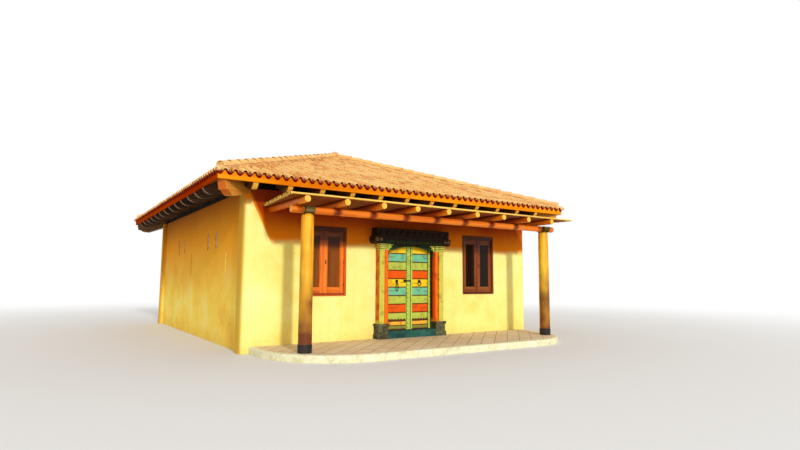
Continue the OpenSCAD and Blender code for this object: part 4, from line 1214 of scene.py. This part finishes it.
# roof
class ADOBE_OT_roof_timbers(bpy.types.Operator):
    """Stained rafters, hip rafters, plates, roof boards and fascia boards"""
    bl_idname = "adobe.roof_timbers"
    bl_label = "Roof timbers"

    def execute(self, context):
        # painted shade and light: the side rafters take darker tones and ends, as shade, and the front and
        # back rafters bright ends, as sunlight
        walnut, shaded = ("#8A5A30", "#5C3820", "#34200F"), ("#6A4C34", "#443020", "#22180E")
        lengthwise = timber("Walnut-stained rafters, front to back", *walnut, "y", 60, 0.6, end="#F0B03C")
        sideways = timber("Walnut-stained rafters, side to side, in painted shade", *shaded, "x", 60, 0.6, end="#7E6248")
        for side, finish, ends in (("front", lengthwise, Y), ("back", lengthwise, Y), ("left", sideways, X),
                                   ("right", sideways, X)):
            dress(side + "_rafters", finish, ends=ends, bevel=0.008)
        hips = timber("Honey-stained hip rafters", "#F0A83C", "#D0842C", "#8A4E1C", "hip", 60, 0.6,
                      end="#C4620E")
        # painted shade: the hip rafters at the back of the house are darkened (rear)
        dress("hip_rafters", hips, ends=X + Y, bevel=0.01, rear=(0.22, 0.24, 0.3, 1))
        cover(["wall_plates"], timber("Walnut-stained wall plates", *walnut, "run", 60, 0.7))
        # the deck's dark colour is partly stain and partly painted shade under the eaves
        cover(["roof_boards"], plank_ceiling("Stained plank roof deck, darkened as shade", "#563016", "#2A160A"))
        # the board's upper edge is cut to the channel tiles and rises in a peak under each cover:
        # z(u) = z_axis - sqrt(r^2 - u^2), with u from the middle of the nearest channel
        bottom, thick = box("fascia_boards")[LOW][2], 0.032
        radius = context.scene.adobe_house.tiles.radius * 0.95
        rings, paints = [], []
        for k in range(4):
            half, run = EAVE[::-1] if k % 2 else EAVE
            channels = tile_columns(half)[0]
            u = np.linspace(-half, half, len(channels) * 16)[:-1]
            off = np.abs(u[:, None] - channels).min(1)
            hollow = np.sqrt(np.clip(radius ** 2 - off ** 2, 0, None)) * math.cos(PITCH)
            top = np.minimum(EAVE_TOP - 0.014, EAVE_TOP + 0.018 - hollow)
            # a crescent of painted shadow, in dark red, under each channel: d(u) = D (1 - (u / w)^2)
            shadow_crescent = top - 0.052 * np.clip(1 - (off / 0.084) ** 2, 0.02, 1) ** 0.7
            section = ((0.004, bottom), (0, bottom + 0.006), (0, shadow_crescent - 0.003), (0, shadow_crescent), (0, top),
                       (thick, top), (thick, bottom))
            ring = np.stack([spots(np.where(u == u[0], u + d, u), d - run, z) for d, z in section], 1)
            rings.append(ring @ quarter_turn(k).T)
            # painted shade: the side boards are a darker red than the front ones; the crescents' colour,
            # clay, is painted shadow
            board, clay = (0.52, 0.17, 0.04, 1) if k % 2 else PLAIN, (0.24, 0.012, 0.02, 1)
            paints.append(np.tile([board, board, board, clay, clay, clay, board], (len(ring), 1)))
        pine = timber("Varnished pine fascia", "#F4A21E", "#EC8E12", "#D2700A", "run", 70, 0.55, shine=0.0)
        boards = torus(np.concatenate(rings), paint=np.concatenate(paints))
        make("fascia_ring", boards, pine, ["fascia_boards"], sharp=25)
        return {"FINISHED"}


def tile_columns(half):
    """Where the columns of channel tiles lie on a slope, and how far apart: they fill its width."""
    width = half + LIP
    count = int(round(2 * width / bpy.context.scene.adobe_house.tiles.pitch))
    return (np.arange(count) + 0.5) * 2 * width / count - width, 2 * width / count


def tile_shells(u, s, w, size, lower, upper, thickness, lift, hollow_up, yaw, around=9, reach=180.0):
    """Many barrel tiles at once, in slope coordinates (u across, s up the slope, w out of it). Each
    is r(t, a) round its axis, with r from the lower end's radius to the upper end's, an inner
    skin one thickness in, and rims that close it. Gives points (tiles, points, 3), one tile's
    faces, and where along the tile each of its points lies."""
    t = np.array([0.0, 0.05, 1.0])
    side = math.radians((180 - reach) / 2)
    a = np.linspace(side, math.pi - side, around)
    shells = []
    for skin in (0.0, thickness):
        r = (lower + (upper - lower) * t - skin)[:, None]
        du = r * np.cos(a) + (t - 0.5)[:, None] * yaw[:, None, None]
        dw = r * np.sin(a) * (-1 if hollow_up else 1) + (lift * (1 - t))[:, None]
        shells.append(spots(u[:, None, None] + du, s[:, None, None] + size * t[:, None],
                            w[:, None, None] + dw))
    points = np.stack(shells, 1).reshape(len(u), -1, 3)
    over, under = np.arange(2 * len(t) * around).reshape(2, len(t), around)
    # the two skins, then the rims at the low end, the high end and along both sides
    quads = ((over[:-1, :-1], over[1:, :-1], over[1:, 1:], over[:-1, 1:]),
             (under[:-1, 1:], under[1:, 1:], under[1:, :-1], under[:-1, :-1]),
             (over[0, 1:], under[0, 1:], under[0, :-1], over[0, :-1]),
             (over[-1, :-1], under[-1, :-1], under[-1, 1:], over[-1, 1:]),
             (over[:-1, 0], under[:-1, 0], under[1:, 0], over[1:, 0]),
             (over[1:, -1], under[1:, -1], under[:-1, -1], over[:-1, -1]))
    faces = np.concatenate([np.stack(quad, -1).reshape(-1, 4) for quad in quads])
    return points, faces, np.tile(np.repeat(t, around), 2)


class ADOBE_OT_roof_tiles(bpy.types.Operator):
    """Barrel tiles on the four slopes: channels with covers between them, laid course by course"""
    bl_idname = "adobe.roof_tiles"
    bl_label = "Roof tiles"

    def execute(self, context):
        look = context.scene.adobe_house.tiles
        clay = fired_clay("Hand-pressed fired clay tiles", look.clay, look.burnt, look.channel)
        for k, node in enumerate(("tiles_front", "tiles_right", "tiles_back", "tiles_left")):
            shell = self.slope(look, k)
            make(node + "_barrels", shell, clay, [node], sharp=50)
        self.bed()
        return {"FINISHED"}

    def slope(self, look, k):
        half, run = EAVE[::-1] if k % 2 else EAVE
        rng = np.random.default_rng(11 + k)
        channels, pitch = tile_columns(half)
        rise = (min(EAVE) + LIP) / math.cos(PITCH)
        courses = int(math.ceil(rise / look.exposure))
        forms = []
        for hollow_up in (True, False):
            # channels lie with their narrow end downhill and covers with their wide end, and the
            # covers sit down in the channels
            lower, upper, axis = (0.94, 1.06, 0.002) if hollow_up else (0.76, 0.72, -0.035)
            at_u = channels if hollow_up else np.append(channels - pitch / 2, channels[-1] + pitch / 2)
            start = -LIP / math.cos(PITCH) + (0.014 if hollow_up else 0.002)
            u, course = np.meshgrid(at_u, np.arange(courses), indexing="ij")
            u, course = u.ravel(), course.ravel()
            s = start + course * look.exposure
            level = half - s * math.cos(PITCH)
            keep = (np.abs(u) - look.radius < level) & (s < rise - 0.1)
            u, course, s = u[keep], course[keep], s[keep]
            count = len(u)
            shake = rng.normal(0, 1, (5, count))
            points, faces, place = tile_shells(
                u + shake[1] * 0.003, s + shake[2] * 0.006 * (course > 0), axis + shake[0] * 0.0025,
                look.size, look.radius * lower, look.radius * upper, look.thickness, 0.02, hollow_up,
                shake[3] * 0.006)
            # painted shade, and partly dark red clay: the lowest channels are dark all over, darker inside
            # towards their mouths, the lowest covers only a little round their rim, and the channels further
            # up a little all over
            size = len(place)
            dark = (place == 0) * 0.15
            if hollow_up:
                dark = np.where(np.arange(size) < size // 2, 1.0, 0.94 - place * 0.5)
            core = np.where((course == 0)[:, None], 1 - dark, 0.88 if hollow_up else 1.0)
            tone = np.clip(0.45 + 0.2 * shake[4], 0, 1)
            u, s, w = points[..., 0], points[..., 1], points[..., 2]
            inside = half - s * math.cos(PITCH)
            # tiles are cut along the hip and lie low beside it, under the hip tiles
            away = np.clip(inside - np.abs(u), 0, None)
            w = np.minimum(w, 0.02 + 0.6 * away)
            limit = np.clip(inside + w * math.sin(PITCH), 0.001, None)
            x = np.clip(u, -limit, limit)
            y = np.minimum(-run + s * math.cos(PITCH) - w * math.sin(PITCH), -0.001)
            y = np.maximum(y, -run - LIP + 0.001)
            x = np.clip(x, 0.001 - half - LIP, half + LIP - 0.001)
            z = EAVE_TOP + s * math.sin(PITCH) + w * math.cos(PITCH)
            shell = Shell(spots(x, y, z), [repeated(faces, count, size)], np.repeat(tone, size), core.ravel())
            forms.append(shell.moved(quarter_turn(k)))
        return forms

    def bed(self):
        """The mortar bed under the tiles: a low pyramid shell that closes the view between them."""
        mortar = stone("Lime mortar bed", "#C9A27A", "#A87850", "#6E4A30")
        boards = box("roof_boards")[HIGH][2]
        signs = np.array([(-1, -1), (1, -1), (1, 1), (-1, 1)])
        half_ridge = np.maximum(EAVE - min(EAVE), 0) + 0.02
        top = APEX - 0.105 / math.cos(PITCH)
        foot, rim = (EAVE_TOP - deep / math.cos(PITCH) for deep in (0.15, 0.105))
        levels = ((EAVE - 0.012, foot), (EAVE - 0.012, rim), (half_ridge, top), (half_ridge, boards + 0.004))
        rings = [spots(*(signs * reach).T, z) for reach, z in levels]
        make("tile_bed", torus(rings), mortar, sharp=10)


def row_axes(start, end):
    """The length of a row of tiles, and its directions along, across and out of the roof."""
    reach = np.linalg.norm(end - start)
    along = (end - start) / reach
    across = np.cross(along, Z)
    across /= np.linalg.norm(across)
    return reach, along, across, np.cross(across, along)


class ADOBE_OT_hip_tiles(bpy.types.Operator):
    """A row of overlapping round tiles up each hip, bedded in mortar"""
    bl_idname = "adobe.hip_tiles"
    bl_label = "Hip tiles"

    def execute(self, context):
        look = context.scene.adobe_house.tiles
        clay = fired_clay("Hand-pressed hip tiles", look.clay, look.burnt, look.channel)
        mortar = stone("Lime mortar along the hips", "#EAC084", "#D29C5A", "#A06C3A")
        forms, beds = [], []
        rng = np.random.default_rng(5)
        run = min(EAVE) + LIP
        low = np.array([*(-EAVE - LIP), LIP_TOP])
        high = low + (run, run, run * SLOPE)
        for flip in ((1, 1, 1), (1, -1, 1), (-1, 1, 1), (-1, -1, 1)):
            self.line(low * flip, high * flip, 0.2, rng, forms, beds)
            forms.append(self.starter(low * flip, high * flip))
        axis = Y if EAVE[1] > EAVE[0] else X
        ends = [Z * APEX + axis * abs(EAVE[1] - EAVE[0]) * side for side in (-1, 1)]
        self.line(ends[0] - axis * 0.05, ends[1] + axis * 0.05, 0.0, rng, forms, beds)
        make("hip_barrels", forms, clay, ["hip_caps"], sharp=50)
        caps = [dome(0.15, 0.12, Z, 20).moved(shift=(*end[:2], CAD_BOX[1][2] - 0.124)) for end in ends]
        make("hip_mortar", beds + caps, mortar, sharp=60)
        return {"FINISHED"}

    def starter(self, start, end):
        """The small closed tile that ends a hip over the corner: r(t) = R sqrt(1 - (1 - t / R)^2) up to
        t = R, and R beyond."""
        _, along, across, out = row_axes(start, end)
        radius = 0.056
        t = np.append(radius * (1 - np.cos(np.radians([3, 20, 40, 60, 80, 90]))), [0.15, 0.24])
        r = radius * np.sqrt(np.clip(1 - np.clip(1 - t / radius, 0, 1) ** 2, 0.002, 1))
        path = start + along * (t[:, None] + 0.026) + Z * 0.004
        form = round_bar(path, r, across, out, tone=0.62)
        form.core = np.ones(len(form.points))
        return form

    def line(self, start, end, first, rng, forms, beds):
        """One row of overlapping tiles from start to end, and the mortar bed that it lies on: a strip
        whose section has upright sides and a round top, and which swells a little along its length."""
        reach, along, across, out = row_axes(start, end)
        exposure = 0.36
        count = int((reach - first) / exposure)
        shake = rng.normal(0, 1, (3, count))
        points, faces, _ = tile_shells(
            shake[0] * 0.003, first + np.arange(count) * exposure, 0.045 + shake[1] * 0.002, 0.43,
            0.095, 0.082, 0.016, 0.022, False, shake[2] * 0.006, 11, 196)
        place = start + points @ np.array([across, along, out])
        tone = np.repeat(rng.uniform(0.3, 0.75, count), points.shape[1])
        forms.append(Shell(place, [repeated(faces, count, points.shape[1])], tone).outward())
        station = np.linspace(first + 0.006, reach - 0.03, max(6, int(reach * 9)))
        angle = np.radians(np.linspace(0, 180, 9))
        swell = (1 + 0.03 * np.sin(station * 17) + 0.02 * np.sin(station * 7.3))[:, None]
        foot = np.full(len(station), -0.07)
        u = np.column_stack([swell * 0.095, swell * 0.079 * np.cos(angle), swell * -0.095])
        w = np.column_stack([foot, 0.05 + swell * 0.079 * np.sin(angle), foot])
        beds.append(loft(start + spots(u, station[:, None], w) @ np.array([across, along, out])))


# porch
def platform_path(half, depth, radius, y, count=20):
    """The platform's edge in plan, from the wall at the left round to the wall at the right."""
    left = arc((radius - half, y - depth + radius), radius, 180, 270, count)
    right = arc((half - radius, y - depth + radius), radius, 270, 360, count)
    straight = np.linspace(left[-1], right[0], 30)[1:-1]
    return np.concatenate([[(-half, y)], left, straight, right, [(half, y)]])


class ADOBE_OT_porch_floor(bpy.types.Operator):
    """Paved porch floor with a rounded cast-stone kerb"""
    bl_idname = "adobe.porch_floor"
    bl_label = "Porch floor"

    def execute(self, context):
        low, high = box("porch_kerb")
        inner = box("porch_paving")[LOW]
        kerb_w = inner[0] - low[0]
        half, depth, radius = -low[0], FRONT - low[1], 1.8
        section = ((0.0, 0.0), (0.0, high[2] - 0.03), (0.006, high[2] - 0.012), (0.018, high[2] - 0.003),
                   (0.035, high[2]), (kerb_w, high[2]), (kerb_w, 0.0))
        rings = [spots(*platform_path(half - inset, depth - inset, radius - inset, FRONT).T, z)
                 for inset, z in section]
        cast = stone("Cast stone kerb, lime washed", "#F0EBCA", "#E6DFB4", "#CFC596", 14.0)
        make("kerb_ring", tube(np.stack(rings, 1)), cast, ["porch_kerb"], sharp=50)
        cover(["porch_paving"], pavers("Clay pavers laid diagonally", "#EBD6B0", "#DEC198", "#7E4630"))
        return {"FINISHED"}


class ADOBE_OT_porch_posts(bpy.types.Operator):
    """Peeled log posts with tarred feet and weathered saddle blocks"""
    bl_idname = "adobe.porch_posts"
    bl_label = "Porch posts"

    def execute(self, context):
        wood = timber("Peeled and waxed log posts", "#FFD63A", "#FFB20C", "#C47208", "z", 60, 0.42, 0.1,
                      foot="#6E3406", stain="#D08A10")
        tar = stone("Tar on the post feet", "#3A322A", "#241E1A", "#12100E", 20.0, 0.6)
        grey = timber("Weathered saddle blocks", "#8C7046", "#564A22", "#302614", "x", 80, 0.8, shine=0.05)
        post_low, post_high = box("porch_posts")
        base_low, base_high = box("post_bases")
        saddle_low, saddle_high = box("post_saddles")
        y = (post_low[1] + post_high[1]) / 2
        foot_r, base_r = (post_high[1] - post_low[1]) / 2, (base_high[1] - base_low[1]) / 2
        post_x = post_high[0] - foot_r
        top_r = foot_r - 0.01
        posts, feet, saddles = [], [], []
        for side in (-1, 1):
            z = np.linspace(base_high[2], post_high[2], 44)
            t = (z - z[0]) / (z[-1] - z[0])
            angle = turns(40)
            # a peeled trunk: a slow taper, shallow flutes, and the swelling round each knot
            radius = (foot_r + (top_r - foot_r) * t)[:, None] * (1 - 0.012 * (1 + np.sin(3 * angle + side)))
            radius = radius + 0.003 * hand_wave(angle * 2, z[:, None] * 3, 3.0 + side)
            for knot_z, knot_a in ((0.9, 3.6), (1.5, 5.2), (2.1, 4.2), (2.55, 5.0), (1.2, 1.2), (1.9, 2.4)):
                turn = np.angle(np.exp(1j * (angle - knot_a - 0.4 * side)))
                radius = radius + 0.006 * np.exp(-(((z[:, None] - knot_z) / 0.06) ** 2 + (turn / 0.3) ** 2))
            # drying has opened one long check near the head
            turn = np.angle(np.exp(1j * (angle - 4.95)))
            check = np.exp(-(turn / 0.09) ** 2) * np.clip(1 - np.abs(z[:, None] - 2.45) / 0.3, 0, 1) ** 0.5
            radius = radius - 0.012 * check
            # the check is painted darker inside, as shade
            shade = 1 - 0.75 * np.append(np.ravel(check), [0, 0])[:, None] * np.array([0.8, 1, 1, 0])
            path = spots(side * post_x, y, z)
            # the head is rounded off into the saddle: r(h) = r sqrt(1 - h^2) over the last 90 mm
            h = np.sin(np.radians([18, 36, 52, 66, 78]))
            path = np.concatenate([path, path[-1] + np.outer(h, (0, 0, 0.09))])
            radius = np.concatenate([radius, radius[-1] * np.sqrt(1 - h ** 2)[:, None]])
            shade = np.concatenate([shade[:-2], np.ones((5 * 40 + 2, 4))])
            posts.append(round_bar(path, radius, X, Y, 40, paint=shade))
            foot, head = base_low[2], base_high[2]
            path = spots(side * post_x, y, [foot, foot + 0.004, head - 0.006, head])
            feet.append(round_bar(path, [base_r - 0.004, base_r, base_r, base_r - 0.006], X, Y, 40))
            half_y = (saddle_high[1] - saddle_low[1]) / 2
            saddles.append(self.saddle(side * post_x, y, saddle_high[0] - post_x, half_y, saddle_low[2],
                                       saddle_high[2]))
        make("peeled_posts", posts, wood, ["porch_posts"])
        make("tarred_post_feet", feet, tar, ["post_bases"])
        make("saddle_blocks", saddles, grey, ["post_saddles"], bevel=0.008)
        return {"FINISHED"}

    def saddle(self, x, y, half_x, half_y, z0, z1):
        """A block seen along the beam, which it grips all round: its lower edges are hewn away in a
        hollow curve, so that the post's round head shows in front of it."""
        hollow = arc((y + half_y, z0), 0.1, 180, 90, 7)
        outline = [*hollow, (y + half_y, z1), (y - half_y, z1), *((2 * y, 0) + hollow[::-1] * (-1, 1))]
        return slab(outline, x - half_x, x + half_x, axis=0)


class ADOBE_OT_porch_logs(bpy.types.Operator):
    """The beam and the logs over the porch, peeled and a little crooked"""
    bl_idname = "adobe.porch_logs"
    bl_label = "Porch logs"

    def execute(self, context):
        tones = ("#F8982A", "#EA740C", "#AC4806")
        log_wood = timber("Peeled and oiled porch logs", *tones, "y", 60, 0.45, 0.1, end="#F8C444")
        beam_wood = timber("Peeled and oiled porch beam", *tones, "x", 60, 0.45, 0.1, end="#FFB83A")
        points = node_points("porch_logs")
        low, high = points.min(0), points.max(0)
        radius, z = (high[2] - low[2]) / 2, (high[2] + low[2]) / 2
        places = [(a + b) / 2 for a, b in spans_along(points[:, 0], 0.3)]
        y = np.linspace(low[1], high[1], 26)
        t, angle, logs = (y - y[0]) / (y[-1] - y[0]), turns(20), []
        for i, x in enumerate(places):
            swell = 0.025 * np.sin(2 * angle + i) + 0.012 * hand_wave(t[:, None] * 6, angle, i)
            r = np.minimum(radius * (0.97 - swell), radius)
            r[0] *= 0.96
            bend = 0.006 * np.sin(math.pi * t) * math.sin(i * 2.1)
            # painted shade: the logs are darkened, save the end that stands out in the sun, and the outer
            # logs less
            log_shade = np.clip((y - y[0] - 0.15) / 0.6, 0, 1) ** 0.7
            log_shade = np.append(np.repeat(log_shade, 20), [0, 1])[:, None] * (0.45 if abs(x) > 0.8 * high[0] else 1)
            paint = 1 - log_shade * np.array([0.5, 0.72, 0.85, 0])
            logs.append(round_bar(spots(x + bend, y, z), r, X, Z, 20, paint=paint))
        make("peeled_logs", logs, log_wood, ["porch_logs"])
        low, high = box("porch_beam")
        radius, angle = (high[2] - low[2]) / 2, turns(24)
        x = np.linspace(low[0], high[0], 300)
        swell = 0.012 * hand_wave(x[:, None] * 1.5, angle, 4.0) - 0.02 * np.sin(2 * angle)
        r = np.minimum(radius * (0.985 + swell), radius)
        r[[0, -1]] *= 0.96
        # painted shadow: it is darker where a log crosses it, save near its ends
        log_shade = np.exp(-(np.abs(x[:, None] - places[1:-1]).min(1) / 0.085) ** 4)
        log_shade = np.append(np.repeat(log_shade, 24), [0, 0])[:, None]
        path = spots(x, (low[1] + high[1]) / 2, (low[2] + high[2]) / 2)
        beam = round_bar(path, r, Y, Z, 24, paint=1 - log_shade * np.array([0.66, 0.86, 0.95, 0]))
        make("peeled_beam", beam, beam_wood, ["porch_beam"])
        return {"FINISHED"}


class ADOBE_OT_porch_canes(bpy.types.Operator):
    """A cover of dry canes over the porch logs, cut unevenly at the ends"""
    bl_idname = "adobe.porch_canes"
    bl_label = "Porch canes"

    def execute(self, context):
        points = node_points("porch_canes")
        z = (points[:, 2].min() + points[:, 2].max()) / 2
        radius = (points[:, 2].max() - points[:, 2].min()) / 2
        rng = np.random.default_rng(3)
        canes = []
        for i, (a, b) in enumerate(spans_along(points[:, 1], 0.003)):
            row = points[(points[:, 1] > a - 0.001) & (points[:, 1] < b + 0.001)]
            x0, x1 = row[:, 0].min(), row[:, 0].max()
            x = np.sort(np.append(np.linspace(x0, x1, 46), [x0 + 0.04, x0 + 0.05, x1 - 0.05, x1 - 0.04]))
            phase = rng.uniform(0, 6, 3)
            joint = np.exp(-(((x + phase[0] * 0.07) % 0.42 - 0.21) / 0.012) ** 2)
            r = radius * (0.9 + 0.1 * joint) * (1 - 0.06 * (x - x0) / (x1 - x0))
            y = (a + b) / 2 + 0.004 * np.sin(x * 1.3 + phase[1]) * math.sin(i)
            lift = z + 0.003 * np.sin(x * 1.1 + phase[2]) - (radius - r)
            # painted shade: all but the first cane are darkened underneath, save at their cut ends
            sunlit = (np.minimum(x - x0, x1 - x) < 0.045) * 1.0 if i else np.ones(50)
            top = np.clip(2 * np.sin(turns(8)) - 0.6, 0, 1)
            sunlit = np.append(np.maximum(sunlit[:, None], top[None]), [1, 1])[:, None]
            paint = np.array([0.25, 0.08, 0.03, 1]) * (1 - sunlit) + sunlit
            # the first cane's tone is raised a little, as painted light
            canes.append(round_bar(np.stack([x, y, lift], -1), r, Y, Z, 8,
                                   tone=np.clip(rng.normal(0.55, 0.22) + 0.12 * (i == 0), 0, 1), paint=paint))
        make("cane_cover", canes, dry_cane("Dry river canes"), ["porch_canes"])
        return {"FINISHED"}


# stage
class ADOBE_OT_stage(bpy.types.Operator):
    """Camera, even light, one soft key light and a pale floor"""
    bl_idname = "adobe.stage"
    bl_label = "Stage"

    def execute(self, context):
        look = context.scene.adobe_house.stage
        scene = context.scene
        scene.view_settings.view_transform = "Standard"
        camera = bpy.data.objects.new("camera", bpy.data.cameras.new("camera"))
        scene.collection.objects.link(camera)
        camera.data.sensor_width, camera.data.lens = 36.0, look.lens
        camera.data.clip_end = 200.0
        camera.location = look.place
        # yaw about the vertical, then tilt up from level, then roll about the view axis
        camera.rotation_mode = "QUATERNION"
        camera.rotation_quaternion = (Quaternion(Z, -look.yaw) @ Quaternion(X, math.pi / 2 + look.lift)
                                      @ Quaternion(Z, look.roll))
        scene.camera = camera

        world = bpy.data.worlds.new("Even studio light")
        world.use_nodes = True
        scene.world = world
        tree = world.node_tree
        path = add(tree, "LightPath", take="Is Camera Ray").node.outputs
        seen = add(tree, "Math MAXIMUM", path["Is Camera Ray"], path["Is Glossy Ray"])
        seen = add(tree, "Math MAXIMUM", seen, path["Is Transmission Ray"])
        strength = add(tree, "MapRange", seen, 0, 1, look.sky, 1.0)
        back = tree.nodes["Background"]
        back.inputs["Color"].default_value = (1, 1, 1, 1)
        tree.links.new(strength, back.inputs["Strength"])

        key = bpy.data.objects.new("key_light", bpy.data.lights.new("key_light", "SUN"))
        scene.collection.objects.link(key)
        key.data.energy, key.data.angle = look.key, math.radians(4)
        key.rotation_mode = "QUATERNION"
        key.rotation_quaternion = Quaternion(Z, math.radians(-8)) @ Quaternion(X, math.radians(70.2))

        a = turns(64)
        rings = [spots(r * np.cos(a), r * np.sin(a), z) for r, z in ((60, -0.1), (60, -0.002), (20, -0.002))]
        floor = loft(rings)
        mesh = bpy.data.meshes.new("floor")
        mesh.from_pydata(floor.points.tolist(), [], [f.tolist() for faces in floor.faces for f in faces])
        stage = bpy.data.objects.new("floor", mesh)
        scene.collection.objects.link(stage)
        material, tree, at = new_finish("Pale studio floor", specular=0.1)
        shader = tree.nodes["Principled BSDF"]
        shader.inputs["Base Color"].default_value = linear("#E6E3DE")
        shader.inputs["Roughness"].default_value = 0.9
        # far from the house the floor passes into the white background
        away = add(tree, "VectorMath LENGTH", at, take="Value")
        fade = add(tree, "MapRange", away, 9.0, 26.0, interpolation_type="SMOOTHSTEP")
        camera_ray = add(tree, "LightPath", take="Is Camera Ray")
        fade = add(tree, "Math MULTIPLY", fade, camera_ray)
        white = add(tree, "Emission", (1, 1, 1, 1), 1.0)
        mixed = add(tree, "MixShader", fade, shader.outputs[0], white)
        tree.links.new(mixed, tree.nodes["Material Output"].inputs["Surface"])
        mesh.materials.append(material)
        return {"FINISHED"}


# sidebar and run
PIECES = (ADOBE_OT_walls, ADOBE_OT_windows, ADOBE_OT_door_surround, ADOBE_OT_door_leaves,
          ADOBE_OT_roof_timbers, ADOBE_OT_roof_tiles, ADOBE_OT_hip_tiles, ADOBE_OT_porch_floor,
          ADOBE_OT_porch_posts, ADOBE_OT_porch_logs, ADOBE_OT_porch_canes, ADOBE_OT_stage)


class ADOBE_PT_house(bpy.types.Panel):
    """Lists the pieces of the house and their settings"""
    bl_label = "Adobe House"
    bl_space_type = "VIEW_3D"
    bl_region_type = "UI"
    bl_category = "House"

    def draw(self, context):
        settings = context.scene.adobe_house
        for group in (settings.walls, settings.tiles, settings.door, settings.stage):
            column = self.layout.box()
            for key in type(group).__annotations__:
                column.prop(group, key)
        for piece in PIECES:
            self.layout.operator(piece.bl_idname, text=piece.bl_label)


CLASSES = (WallFinish, RoofTiles, DoorPaint, StageSettings, HouseSettings) + PIECES + (ADOBE_PT_house,)


def register():
    for cls in CLASSES:
        bpy.utils.register_class(cls)
    bpy.types.Scene.adobe_house = bpy.props.PointerProperty(type=HouseSettings)


def unregister():
    del bpy.types.Scene.adobe_house
    for cls in reversed(CLASSES):
        bpy.utils.unregister_class(cls)


def main():
    register()
    for piece in PIECES:
        group, name = piece.bl_idname.split(".")
        getattr(getattr(bpy.ops, group), name)()


if __name__ == "__main__":
    main()
